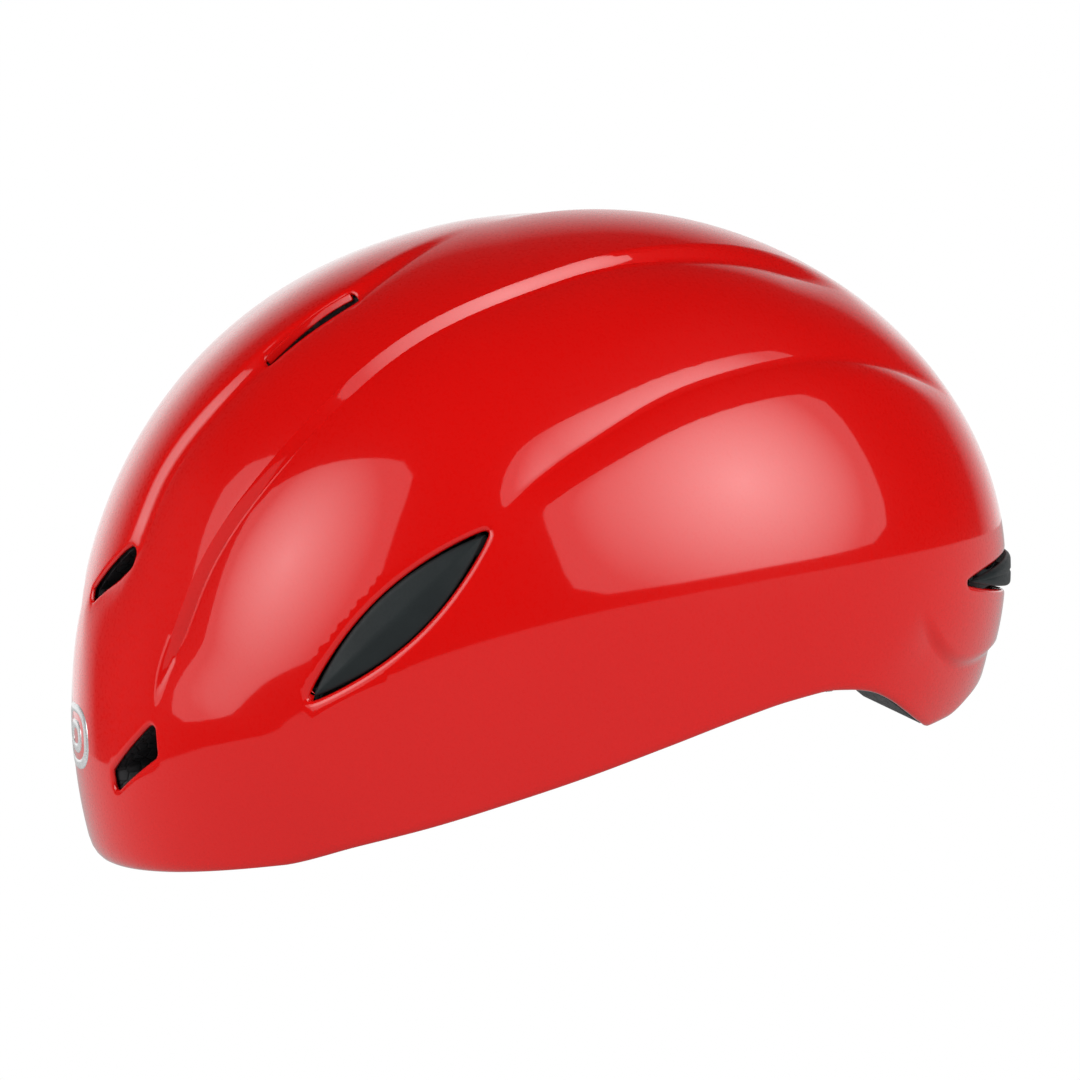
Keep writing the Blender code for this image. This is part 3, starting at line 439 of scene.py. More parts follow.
def chart_mesh(spacing, holes, rings, lines=(), rim_rings=(0.0,), chart=to_chart, unit=150.0):
    """Triangles over the chart: an even lattice, with loops round the openings and rows of
    points along the style lines, thinned where they crowd."""
    loops, fixed = [], []
    for name, ring, *_ in holes:
        for g in rings:
            loops.append((name, g, chart(ring(g))))
    step = spacing / unit
    n = int(2.2 / step)
    gx, gy = np.meshgrid(np.arange(-n, n + 1), np.arange(-n, n + 1))
    lat = np.stack([(gx + 0.5 * (gy % 2)).ravel() * step, gy.ravel() * step * 0.866], -1)
    lat = lat[np.hypot(lat[:, 0], lat[:, 1]) < 1 - 0.6 * step]
    rim = []
    count = int(round(2 * math.pi * 125 / (spacing * 0.95)))
    a = np.radians(np.arange(count) * 360.0 / count)
    for k, back in enumerate(rim_rings):
        f = np.degrees(a)
        rho = 1 - (back(f) if callable(back) else back) / rim_len(f)
        rim.append(np.stack([rho * np.sin(a), -rho * np.cos(a)], -1))
    rows = []
    for row in lines:
        rows.append(chart(row))
    # keep the lattice and rows clear of the loops, and the lattice clear of the rows
    firm = [l for _, _, l in loops] + rim
    firm_pts = np.vstack(firm)

    def clear(pts, of, gap):
        from_cells = {}
        c = np.floor(of / gap).astype(int)
        for i, key in enumerate(map(tuple, c)):
            from_cells.setdefault(key, []).append(i)
        keep = np.ones(len(pts), bool)
        pc = np.floor(pts / gap).astype(int)
        for i, (cx, cy) in enumerate(pc):
            for dx in (-1, 0, 1):
                for dy in (-1, 0, 1):
                    for j in from_cells.get((cx + dx, cy + dy), ()):
                        if (pts[i, 0] - of[j, 0]) ** 2 + (pts[i, 1] - of[j, 1]) ** 2 < gap * gap:
                            keep[i] = False
                            break
                    if not keep[i]:
                        break
                if not keep[i]:
                    break
        return pts[keep]

    parts = firm[:]
    if rows:
        row_pts = clear(np.vstack(rows), firm_pts, 0.45 * step)
        parts.append(row_pts)
        lat = clear(lat, row_pts, 0.6 * step)
    lat = clear(lat, firm_pts, 0.6 * step)
    parts.append(lat)
    pts = np.vstack(parts)
    edges, base = [], 0
    for l in firm:
        k = len(l)
        edges += [(base + i, base + (i + 1) % k) for i in range(k)]
        base += k
    out = delaunay_2d_cdt([Vector(p) for p in pts], edges, [], 0, 1e-7, True)
    uv = np.array([v[:] for v in out[0]])
    tri = np.array([f[:] for f in out[2] if len(f) == 3])
    cen = uv[tri].mean(1)
    drop = np.zeros(len(tri), bool)
    for (name, g, l) in loops:
        if g == min(rings):
            drop |= inside(cen, l)
    tri = tri[~drop]
    a0, b0, c0 = uv[tri[:, 0]], uv[tri[:, 1]], uv[tri[:, 2]]
    ar = (b0[:, 0] - a0[:, 0]) * (c0[:, 1] - a0[:, 1]) - (b0[:, 1] - a0[:, 1]) * (c0[:, 0] - a0[:, 0])
    tri = tri[np.abs(ar) > 1e-10]
    where = {}
    for k, ids in enumerate(out[3]):
        for i in ids:
            where[i] = k
    named, base = {}, 0
    for k, l in enumerate(firm):
        ids = [where[base + i] for i in range(len(l))]
        key = (k, loops[k][0], loops[k][1]) if k < len(loops) else ("rim", k - len(loops))
        named[key] = ids
        base += len(l)
    return uv, tri, named


def to_object(name, verts, faces, mat, smooth_deg=None, recalc=True):
    """Mesh object from millimetre points; loose points are left out."""
    verts = np.asarray(verts, float)
    used = np.unique(np.concatenate([np.asarray(f, int).ravel() for f in faces]))
    new = -np.ones(len(verts), int)
    new[used] = np.arange(len(used))
    me = bpy.data.meshes.new(name)
    me.from_pydata((verts[used] * MM).tolist(), [], [[int(new[i]) for i in f] for f in faces])
    me.validate()
    if recalc:
        bm = bmesh.new()
        bm.from_mesh(me)
        bmesh.ops.recalc_face_normals(bm, faces=bm.faces)
        bm.to_mesh(me)
        bm.free()
    if mat:
        me.materials.append(mat)
    me.shade_smooth()
    if smooth_deg:
        me.set_sharp_from_angle(angle=math.radians(smooth_deg))
    ob = bpy.data.objects.new(name, me)
    bpy.context.scene.collection.objects.link(ob)
    return ob


# ---------------------------------------------------------------- materials
class Nodes:
    """Short-hand for building a node tree."""

    def __init__(self, name):
        self.m = bpy.data.materials.new(name)
        self.m.use_nodes = True
        self.t = self.m.node_tree
        self.b = self.t.nodes["Principled BSDF"]

    def add(self, kind, **k):
        n = self.t.nodes.new(kind)
        for a, v in k.items():
            setattr(n, a, v)
        return n

    def link(self, a, b):
        self.t.links.new(a, b)

    def set(self, **k):
        for a, v in k.items():
            self.b.inputs[a.replace("_", " ")].default_value = v

    def coords(self, uv=False, scale=(1, 1, 1), turn=(0, 0, 0)):
        c = self.add("ShaderNodeTexCoord")
        m = self.add("ShaderNodeMapping")
        m.inputs["Scale"].default_value = scale
        m.inputs["Rotation"].default_value = turn
        self.link(c.outputs["UV" if uv else "Object"], m.inputs["Vector"])
        return m.outputs["Vector"]

    def noise(self, vec, scale, detail=3.0, rough=0.5):
        n = self.add("ShaderNodeTexNoise")
        n.inputs["Scale"].default_value = scale
        n.inputs["Detail"].default_value = detail
        n.inputs["Roughness"].default_value = rough
        self.link(vec, n.inputs["Vector"])
        return n.outputs["Fac"]

    def spread(self, fac, stops):
        r = self.add("ShaderNodeValToRGB")
        el = r.color_ramp.elements
        while len(el) < len(stops):
            el.new(0.5)
        for e, (p, c) in zip(el, stops):
            e.position = p
            e.color = c if len(c) == 4 else (*c, 1)
        self.link(fac, r.inputs["Fac"])
        return r.outputs["Color"]

    def range(self, fac, a, b, lo, hi):
        r = self.add("ShaderNodeMapRange")
        for i, v in zip(("From Min", "From Max", "To Min", "To Max"), (a, b, lo, hi)):
            r.inputs[i].default_value = v
        self.link(fac, r.inputs["Value"])
        return r.outputs["Result"]

    def bump(self, *layers):
        """Layers of (height socket, strength, distance in metres)."""
        last = None
        for h, s, d in layers:
            n = self.add("ShaderNodeBump")
            n.inputs["Strength"].default_value = s
            n.inputs["Distance"].default_value = d
            self.link(h, n.inputs["Height"])
            if last is not None:
                self.link(last, n.inputs["Normal"])
            last = n.outputs["Normal"]
        self.link(last, self.b.inputs["Normal"])
        return last

    def math(self, op, a, b=None):
        n = self.add("ShaderNodeMath", operation=op)
        for i, v in enumerate((a, b)):
            if v is None:
                continue
            if isinstance(v, (int, float)):
                n.inputs[i].default_value = v
            else:
                self.link(v, n.inputs[i])
        return n.outputs[0]


def shell_paint():
    n = Nodes("gloss_red_lacquer")
    v = n.coords()
    big = n.noise(v, 9, 2)
    fine = n.noise(v, 900, 2)
    n.link(n.spread(big, [(0.3, (0.680, 0.0026, 0.0020)), (0.7, (0.725, 0.0040, 0.0030))]),
           n.b.inputs["Base Color"])
    n.link(n.range(fine, 0.35, 0.65, 0.26, 0.32), n.b.inputs["Roughness"])
    n.set(Coat_Weight=1.0, Coat_IOR=1.5, Specular_IOR_Level=0.06)
    n.set(Coat_Roughness=0.045)
    bump = n.add("ShaderNodeBump")
    bump.inputs["Strength"].default_value = 0.12
    bump.inputs["Distance"].default_value = 0.00003
    n.link(n.noise(v, 160, 2), bump.inputs["Height"])
    n.link(bump.outputs["Normal"], n.b.inputs["Coat Normal"])
    return n.m


def foam():
    """Moulded black bead foam: flattened beads a few millimetres across with dark joints."""
    n = Nodes("bead_foam_black")
    v = n.coords()
    cell = n.add("ShaderNodeTexVoronoi", feature="DISTANCE_TO_EDGE")
    cell.inputs["Scale"].default_value = 330
    n.link(v, cell.inputs["Vector"])
    tone = n.add("ShaderNodeTexVoronoi", feature="F1")
    tone.inputs["Scale"].default_value = 330
    n.link(v, tone.inputs["Vector"])
    edge = n.range(cell.outputs["Distance"], 0.0, 0.12, 0.0, 1.0)
    grey = n.add("ShaderNodeSeparateColor")
    n.link(tone.outputs["Color"], grey.inputs[0])
    shade = n.spread(grey.outputs[0], [(0.0, (0.018, 0.018, 0.020)), (1.0, (0.034, 0.034, 0.037))])
    mix = n.add("ShaderNodeMix", data_type="RGBA")
    n.link(edge, mix.inputs["Factor"])
    mix.inputs[6].default_value = (0.009, 0.009, 0.010, 1)
    n.link(shade, mix.inputs[7])
    n.link(mix.outputs[2], n.b.inputs["Base Color"])
    n.link(n.range(n.noise(v, 500, 2), 0.3, 0.7, 0.5, 0.68), n.b.inputs["Roughness"])
    n.set(Specular_IOR_Level=0.4)
    n.bump((edge, 0.5, 0.0004), (n.noise(v, 1600, 2), 0.25, 0.0001))
    return n.m


def moulded(name, rgb, rough=0.5, grain=1500, depth=0.00006, gloss=0.0):
    """Injection-moulded plastic: fine spark grain, slight tone drift."""
    n = Nodes(name)
    v = n.coords()
    drift = n.noise(v, 45, 3)
    hi = tuple(min(1, c * 1.3 + 0.002) for c in rgb)
    lo = tuple(c * 0.8 for c in rgb)
    n.link(n.spread(drift, [(0.3, lo), (0.7, hi)]), n.b.inputs["Base Color"])
    g = n.noise(v, grain, 3, 0.6)
    n.link(n.range(g, 0.3, 0.7, rough - 0.07, rough + 0.08), n.b.inputs["Roughness"])
    n.set(Specular_IOR_Level=0.45)
    if gloss:
        n.set(Coat_Weight=gloss, Coat_Roughness=0.25)
    n.bump((g, 0.5, depth), (n.noise(v, grain / 6, 2), 0.2, depth * 2))
    return n.m


RED = shell_paint()
FOAM = foam()
TRIM = moulded("matt_black_trim", (0.012, 0.018, 0.019), 0.52, 1700, 0.00005)
NYLON = moulded("moulded_nylon_black", (0.022, 0.022, 0.024), 0.42, 1300, 0.00006)

# ---------------------------------------------------------------- camera
TARGET = Vector((0.0, 0.00332, 0.06744))
AZ, EL, ROLL, DIST = math.radians(75), math.radians(5), math.radians(-9.4), 1.0
BACK = Vector((math.sin(AZ) * math.cos(EL), -math.cos(AZ) * math.cos(EL), math.sin(EL)))
right = (-BACK).cross(Vector((0, 0, 1))).normalized()
up = right.cross(-BACK)
R = right * math.cos(ROLL) + up * math.sin(ROLL)
U = -right * math.sin(ROLL) + up * math.cos(ROLL)
cam_data = bpy.data.cameras.new("camera")
cam_data.lens, cam_data.sensor_width = 112.34, 36.0
cam_data.clip_start, cam_data.clip_end = 0.01, 50
cam = bpy.data.objects.new("camera", cam_data)
cam.matrix_world = Matrix.Translation(TARGET + BACK * DIST) @ \
    Matrix((R, U, BACK)).transposed().to_4x4()
bpy.context.scene.collection.objects.link(cam)
bpy.context.scene.camera = cam
bpy.context.scene.view_settings.view_transform = "Standard"

# ---------------------------------------------------------------- floor, backdrop and lights
world = bpy.data.worlds.new("studio")
world.use_nodes = True
bpy.context.scene.world = world
wt = world.node_tree
bg = wt.nodes["Background"]
gen = wt.nodes.new("ShaderNodeTexCoord")
dot = wt.nodes.new("ShaderNodeVectorMath")
dot.operation = "DOT_PRODUCT"
dot.inputs[1].default_value = (-BACK.x, -BACK.y, -0.12)
wt.links.new(gen.outputs["Generated"], dot.inputs[0])
shade = wt.nodes.new("ShaderNodeValToRGB")
el = shade.color_ramp.elements
el[0].position, el[0].color = 0.81, (0.03, 0.03, 0.03, 1)
el[1].position, el[1].color = 0.95, (1, 1, 1, 1)
half = wt.nodes.new("ShaderNodeMath")
half.operation = "MULTIPLY_ADD"
half.inputs[1].default_value, half.inputs[2].default_value = 0.5, 0.5
wt.links.new(dot.outputs["Value"], half.inputs[0])
wt.links.new(half.outputs[0], shade.inputs["Fac"])
ray = wt.nodes.new("ShaderNodeLightPath")
seen = wt.nodes.new("ShaderNodeMix")
seen.data_type = "RGBA"
wt.links.new(ray.outputs["Is Camera Ray"], seen.inputs["Factor"])
wt.links.new(shade.outputs["Color"], seen.inputs[6])
seen.inputs[7].default_value = (1, 1, 1, 1)
wt.links.new(seen.outputs[2], bg.inputs["Color"])


def glow(name, strength, centre=None, reach=1.0):
    """Emitting surface; with a centre strength, it falls off from the middle outwards."""
    m = bpy.data.materials.new(name)
    m.use_nodes = True
    t = m.node_tree
    t.nodes.remove(t.nodes["Principled BSDF"])
    e = t.nodes.new("ShaderNodeEmission")
    e.inputs["Strength"].default_value = strength
    t.links.new(e.outputs[0], t.nodes["Material Output"].inputs["Surface"])
    if centre:
        c = t.nodes.new("ShaderNodeTexCoord")
        mp = t.nodes.new("ShaderNodeMapping")
        mp.inputs["Scale"].default_value = (1 / reach, 1 / reach, 1 / reach)
        g = t.nodes.new("ShaderNodeTexGradient")
        g.gradient_type = "SPHERICAL"
        r = t.nodes.new("ShaderNodeMapRange")
        r.inputs["To Min"].default_value, r.inputs["To Max"].default_value = strength, centre
        t.links.new(c.outputs["Object"], mp.inputs["Vector"])
        t.links.new(mp.outputs["Vector"], g.inputs["Vector"])
        t.links.new(g.outputs["Fac"], r.inputs["Value"])
        t.links.new(r.outputs["Result"], e.inputs["Strength"])
    return m


def panel(name, az, el, dist, w, h, edge, middle, turn=0.0):
    """Soft box at a heading and height round the helmet, unseen by the camera itself."""
    me = bpy.data.meshes.new(name)
    k = 8
    pts, faces = [(0, 0, 0)], []
    for i in range(4 * k):                     # a rounded rectangle
        a = math.tau * (i + 0.5) / (4 * k)
        c, s = math.cos(a), math.sin(a)
        q = (abs(c) ** 7 + abs(s) ** 7) ** (-1 / 7)
        pts.append((c * q * w / 2, s * q * h / 2, 0))
    faces = [(0, i + 1, (i + 1) % (4 * k) + 1) for i in range(4 * k)]
    me.from_pydata(pts, [], faces)
    me.materials.append(glow(name + "_glow", edge, middle, 0.42 * max(w, h)))
    ob = bpy.data.objects.new(name, me)
    a, e = math.radians(az), math.radians(el)
    d = Vector((math.sin(a) * math.cos(e), -math.cos(a) * math.cos(e), math.sin(e)))
    ob.matrix_world = Matrix.Translation(Vector((0, 0, 0.07)) + d * dist) @ \
        d.to_track_quat("Z", "Y").to_matrix().to_4x4() @ Matrix.Rotation(math.radians(turn), 4, "Z")
    ob.visible_camera = False
    bpy.context.scene.collection.objects.link(ob)
    ob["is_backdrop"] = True
    return ob


panel("front_soft_box", 27, 25, 1.6, 1.88, 1.35, 1.15, 5.4)
panel("rear_soft_box", 127, 15, 1.6, 2.0, 1.12, 1.2, 6.9)
fill = panel("front_fill", -25, 14, 1.6, 1.6, 1.2, 1.8, 2.4)
fill.visible_glossy = False
fill = panel("rear_top_fill", 140, 38, 1.6, 1.5, 1.3, 1.0, 1.5)
fill.visible_glossy = False

me = bpy.data.meshes.new("floor")
ring = [(0.56 * math.cos(math.tau * i / 96), 0.56 * math.sin(math.tau * i / 96), -0.0004)
        for i in range(96)]
me.from_pydata(ring, [], [tuple(range(96))])
me.materials.append(glow("table_bounce", 0.50))
table = bpy.data.objects.new("table_bounce", me)
table.visible_camera = False
me = bpy.data.meshes.new("floor")
me.from_pydata([(x * 6, y * 6, -0.0008) for x, y in ((-1, -1), (1, -1), (1, 1), (-1, 1))], [],
               [(0, 1, 2, 3)])
me.materials.append(glow("pale_floor", 1.0))
floor = bpy.data.objects.new("floor", me)
floor.visible_glossy = floor.visible_diffuse = False
for ob in (table, floor):
    bpy.context.scene.collection.objects.link(ob)
    ob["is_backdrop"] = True

# ---------------------------------------------------------------- outer shell
def rim_len_exact(phi):
    low = rim_psi(phi)
    return np.linalg.norm(dome(phi, low + 2) - dome(phi, low), axis=-1) / 2 * (90 - low)


RIM_LEN = rim_len_exact(RIM_TABLE_A)


def rim_len(phi):
    return np.interp(heading(phi), RIM_TABLE_A, RIM_LEN)


def front(phi):
    return 1 - smooth(heading(phi), 4, 30)


def roll_w(phi):
    return 2.4 + 4.4 * front(phi)


def roll_t(phi):
    return 1.0 + 2.3 * front(phi)


def rows_of(line, offsets, gap=1.7):
    """Rows of points beside a style line, at signed distances (a number or a function of u)."""
    seg = np.linalg.norm(np.diff(line, axis=0), axis=1)
    s = np.concatenate([[0], np.cumsum(seg)])
    t = np.arange(0, s[-1], gap)
    p = np.stack([np.interp(t, s, line[:, k]) for k in range(3)], -1)
    u = t / s[-1]
    d = np.gradient(p, axis=0)
    w = np.cross(d, p - np.array([0, Y_SHIFT, EYE_Z - 20]))
    w /= np.linalg.norm(w, axis=1)[:, None]
    out = []
    for o in offsets:
        o = o(u) if callable(o) else np.full(len(u), float(o))
        q = to_dome(p + w * o[:, None])
        q = q[q[:, 0] > 0.5]
        out += [q, q * [-1, 1, 1]]
    return out


ROWS = rows_of(LINES[0], (-7.4, -6.0, -4.2, -3.0, -1.5, 0, 1.1, 2.6)) + \
    rows_of(LINES[1], (lambda u: -wall_2(u) - 1.3, lambda u: -wall_2(u), lambda u: -0.66 * wall_2(u),
                       lambda u: -0.33 * wall_2(u), 0, 1.1, 2.6)) + \
    rows_of(LINES[2], (-4.0, -1.6, 0, 1.1, 2.6)) + rows_of(LINES[3], (-4.4, -3.2, -1.6, 0, 1.1, 2.6))


def edge_roll(p):
    """Depth of the edges rolled in round the openings."""
    h = np.zeros(len(p))
    for name, ring, w, sink, _ in HOLES:
        loop = ring(0.0)
        near = np.where(np.linalg.norm(p - loop.mean(0), axis=1) <
                        np.linalg.norm(loop - loop.mean(0), axis=1).max() + w + 1)[0]
        if not len(near):
            continue
        a, b = loop, np.roll(loop, -1, 0)
        d = b - a
        q = p[near]
        t = np.clip(((q[:, None] - a) * d).sum(-1) / (d * d).sum(-1), 0, 1)
        dist = np.linalg.norm(q[:, None] - (a + d * t[..., None]), axis=-1).min(1)
        x = np.clip(1 - dist / w, 0, 1)
        h[near] = np.maximum(h[near], sink * (1 - np.sqrt(np.clip(1 - x * x, 0, 1))))
    return h


def shell_surface(uv, depth=0.0, rolled=True):
    phi, psi, rho = from_chart(uv)
    p = dome(phi, psi)
    n = dome_normal(phi, psi)
    h = relief(p) - depth
    if rolled:
        back = (1 - rho) * rim_len(phi)
        x = np.clip(1 - back / roll_w(phi), 0, 1)
        h = h - roll_t(phi) * (1 - np.sqrt(np.clip(1 - x * x, 0, 1))) - edge_roll(p)
    q = p + n * h[:, None]
    q[:, 2] = np.maximum(q[:, 2] - 0.3 * smooth(rho, 0.97, 1), 0.05)
    return q


RIM_BACK = (0.0, lambda f: 0.04 * roll_w(f), lambda f: 0.14 * roll_w(f), lambda f: 0.32 * roll_w(f),
            lambda f: 0.6 * roll_w(f), lambda f: roll_w(f))
uv, tri, named = chart_mesh(2.15, HOLES, (0.0, 0.1, 0.4, 0.9, 1.6), ROWS, RIM_BACK, unit=212.0)
p = shell_surface(uv)
nrm = np.cross(p[tri[:, 1]] - p[tri[:, 0]], p[tri[:, 2]] - p[tri[:, 0]])
wrong = (nrm * (p[tri].mean(1) - MIDDLE)).sum(1) < 0
tri[wrong] = tri[wrong][:, ::-1]
shell = to_object("shell_skin", p, tri, RED, 38, recalc=False)
m = shell.modifiers.new("thickness", "SOLIDIFY")
m.thickness, m.offset, m.use_even_offset = 1.35 * MM, -1.0, False
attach(shell, "helmet")
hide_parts("outer_shell")
print("shell", len(p), len(tri))

# ---------------------------------------------------------------- head form and liner
def head(phi, the, off=0.0):
    phi, the = np.broadcast_arrays(np.radians(phi), np.radians(the))
    ce, se = np.where(the > 0, np.cos(the), 1.0), np.sin(the)
    p = np.stack([HEAD_A * ce * np.sin(phi), HEAD_Y - HEAD_B * ce * np.cos(phi),
                  HEAD_Z + HEAD_C * se], -1)
    n = np.stack([ce * np.sin(phi) / HEAD_A, -ce * np.cos(phi) / HEAD_B,
                  np.where(the > 0, se, 0) / HEAD_C], -1)
    n /= np.linalg.norm(n, axis=-1)[..., None]
    off = np.asarray(off, float)
    return p - n * (off[..., None] if off.ndim else off)


def head_t(z):
    return np.degrees(np.arcsin(np.clip((np.asarray(z, float) - HEAD_Z) / HEAD_C, -1, 1)))


def head_low(phi):
    a = heading(phi)
    return head_t(rim_z(a) + 9.0 * smooth(a, 60, 135))


def head_angles(p):
    x, y = p[:, 0] / HEAD_A, -(p[:, 1] - HEAD_Y) / HEAD_B
    return np.degrees(np.arctan2(x, y)), head_t(p[:, 2])


def head_chart(p):
    phi, the = head_angles(p)
    k = (90 - the) / (90 - head_low(phi))
    return np.stack([k * np.sin(np.radians(phi)), -k * np.cos(np.radians(phi))], -1)


def push_to_head(p, inn):
    """Move points along a direction until they meet the head form."""
    lo, hi = np.zeros(len(p)), np.full(len(p), 75.0)
    for _ in range(40):
        m = (lo + hi) / 2
        q = p + m[:, None] * inn
        r = (q[:, 0] / HEAD_A) ** 2 + ((q[:, 1] - HEAD_Y) / HEAD_B) ** 2
        r = r + np.where(q[:, 2] > HEAD_Z, ((q[:, 2] - HEAD_Z) / HEAD_C) ** 2, 0)
        lo, hi = np.where(r > 1, m, lo), np.where(r > 1, hi, m)
    return p + hi[:, None] * inn


THROUGH = [h for h in HOLES if h[0] in ("upper_vent", "lower_vent", "crown_slit")]
POCKET = [h for h in HOLES if h[0] in ("side_window", "rear_window")]
outer_loops = [h[1](0.05) for h in THROUGH]
inner_loops = [push_to_head(l, h[4].inn) for h, l in zip(THROUGH, outer_loops)]


def fixed_ring(loop):
    return lambda g: loop


LS = 3.6
pocket_rows = [h[1](g) for h in POCKET for g in (0.1, 0.8)]
ouv, otri, onames = chart_mesh(LS, [(f"h{i}", fixed_ring(l)) for i, l in enumerate(outer_loops)],
                               (0.0,), pocket_rows, (0.0, 1.5, 4.0), unit=212.0)
op = shell_surface(ouv, 1.6)
deep = np.zeros(len(ouv), bool)
for h in POCKET:
    deep |= inside(ouv, to_chart(h[1](0.45)))
op[deep] -= dome_normal(*from_chart(ouv[deep])[:2]) * 5.0

GROOVES = [[(20, -86, 78), (30, -62, 108), (33, -35, 124), (33, 0, 127), (32, 35, 122), (28, 62, 106),
            (24, 80, 84)],
           [(42, -84, 34), (58, -62, 62), (60, -44, 84), (58, -20, 98), (57, 10, 100), (54, 38, 96),
            (46, 62, 84), (38, 80, 66)]]


def groove_depth(p):
    g = np.zeros(len(p))
    q = p * [1, 1, 1]
    q[:, 0] = np.abs(q[:, 0])
    for pts in GROOVES:
        line = path3(pts, 50)
        a = head_angles(line)
        line = head(a[0], a[1])
        d, u = off_line(q, line, (0, 0, 30))
        g = np.maximum(g, 6.0 * (1 - smooth(np.abs(d), 3.4, 6.6)) * smooth(u, 0.0, 0.06) *
                       (1 - smooth(u, 0.92, 1.0)))
    return g


iuv, itri, inames = chart_mesh(LS, [(f"h{i}", fixed_ring(l)) for i, l in enumerate(inner_loops)],
                               (0.0,), [], (0.0, 1.5), chart=head_chart, unit=200.0)
iphi = np.degrees(np.arctan2(iuv[:, 0], -iuv[:, 1]))
ithe = 90 - np.hypot(iuv[:, 0], iuv[:, 1]) * (90 - head_low(iphi))
ip = head(iphi, ithe)
ip = head(iphi, ithe, -groove_depth(ip))
verts = np.vstack([op, ip])
faces = [tuple(t) for t in otri] + [tuple(t + len(op)) for t in itri]


def loop_ids(names, k):
    return [v for key, v in names.items() if key[0] == k][0]


for k in range(len(outer_loops)):
    a, b = loop_ids(onames, k), [i + len(op) for i in loop_ids(inames, k)]
    prev = a
    for j in range(1, 6):                 # channel walls in short lengths
        if j < 5:
            base = len(verts)
            mid = verts[a] * (1 - j / 5) + verts[b] * (j / 5)
            verts = np.vstack([verts, mid])
            cur = list(range(base, base + len(a)))
        else:
            cur = b
        m = len(a)
        faces += [(prev[i], prev[(i + 1) % m], cur[(i + 1) % m], cur[i]) for i in range(m)
                  if len({prev[i], prev[(i + 1) % m], cur[(i + 1) % m], cur[i]}) == 4]
        prev = cur
a, b = onames[("rim", 0)], [i + len(op) for i in inames[("rim", 0)]]
m = len(a)
faces += [(a[i], a[(i + 1) % m], b[(i + 1) % m], b[i]) for i in range(m)]
liner = to_object("foam_liner", verts, faces, FOAM, 50)
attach(liner, "helmet")
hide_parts("eps_liner")
print("liner", len(verts), len(faces))

# ---------------------------------------------------------------- side vent inserts, rear cover
def surface_at(p3, depth):
    """Points on the styled surface at a depth, from points near it."""
    phi, psi = angles(p3)
    q = dome(phi, psi)
    return q + dome_normal(phi, psi) * (relief(q) - depth)[:, None]


def grid_faces(nu, nv):
    return [(i * nv + j, (i + 1) * nv + j, (i + 1) * nv + j + 1, i * nv + j + 1)
            for i in range(nu - 1) for j in range(nv - 1)]


def thicken(ob, t, offset=-1.0):
    m = ob.modifiers.new("thickness", "SOLIDIFY")
    m.thickness, m.offset, m.use_even_offset = t * MM, offset, False
    return ob


def face_out(verts, faces, centre=MIDDLE):
    verts = np.asarray(verts)
    out = []
    for f in faces:
        a, b, c = verts[f[0]], verts[f[1]], verts[f[2]]
        n = np.cross(b - a, c - a)
        out.append(tuple(f) if n @ ((a + b + c) / 3 - centre) > 0 else tuple(f)[::-1])
    return out


def insert_material():
    """Matt black rubbery trim: fine grain and a slight tone drift."""
    n = Nodes("matt_insert")
    v = n.coords()
    g = n.noise(v, 1500, 3, 0.6)
    n.link(n.spread(n.noise(v, 60, 3), [(0.3, (0.0075, 0.0115, 0.0125)), (0.7, (0.012, 0.017, 0.018))]),
           n.b.inputs["Base Color"])
    n.link(n.range(g, 0.3, 0.7, 0.46, 0.6), n.b.inputs["Roughness"])
    n.set(Specular_IOR_Level=0.3)
    n.bump((g, 0.45, 0.00005))
    return n.m


INSERT = insert_material()
NU, NV = 90, 19
su = -np.cos(np.linspace(0.0, math.pi, NU))
sv = np.sin(np.linspace(-math.pi / 2, math.pi / 2, NV))
S, T = np.meshgrid(su, sv, indexing="ij")
S, T = S.ravel(), T.ravel()
for win, side in ((WINDOW, "left"), (WINDOW.flip(), "right")):
    length = np.linalg.norm(B_TIP - A_TIP) - 1.5
    s01 = (S + 1) / 2
    halfw = np.maximum((15.5 * 0.5 - 0.85) * np.sin(np.pi * np.clip(s01, 0.004, 0.996)) ** 0.85, 0.12)
    x, y = S * length / 2 * 0.985, T * halfw
    q = win.at + x[:, None] * win.ax + y[:, None] * win.wd
    dist = halfw * (1 - np.abs(T)) + 0.25 * (1 - np.abs(S)) * length / 2 * 0
    e = np.clip(1 - dist / 1.1, 0, 1)
    depth = 1.05 - 0.75 * (1 - np.abs(T)) * np.clip(halfw / 4, 0, 1) + \
        0.75 * (1 - np.sqrt(np.clip(1 - e * e, 0, 1)))
    lo, hi = np.full(len(q), -25.0), np.full(len(q), 25.0)
    for _ in range(36):
        mdl = (lo + hi) / 2
        w = q + mdl[:, None] * win.inn
        out = np.linalg.norm(w - MIDDLE, axis=1) > np.linalg.norm(to_dome(w) - MIDDLE, axis=1)
        lo, hi = np.where(out, mdl, lo), np.where(out, hi, mdl)
    pts = surface_at(q + lo[:, None] * win.inn, depth)
    ob = to_object(side + "_vent_insert", pts, face_out(pts, grid_faces(NU, NV)), INSERT, 40,
                   recalc=False)
    thicken(ob, 2.2)
    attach(ob, "helmet")
    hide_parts(side + "_side_vent_insert")

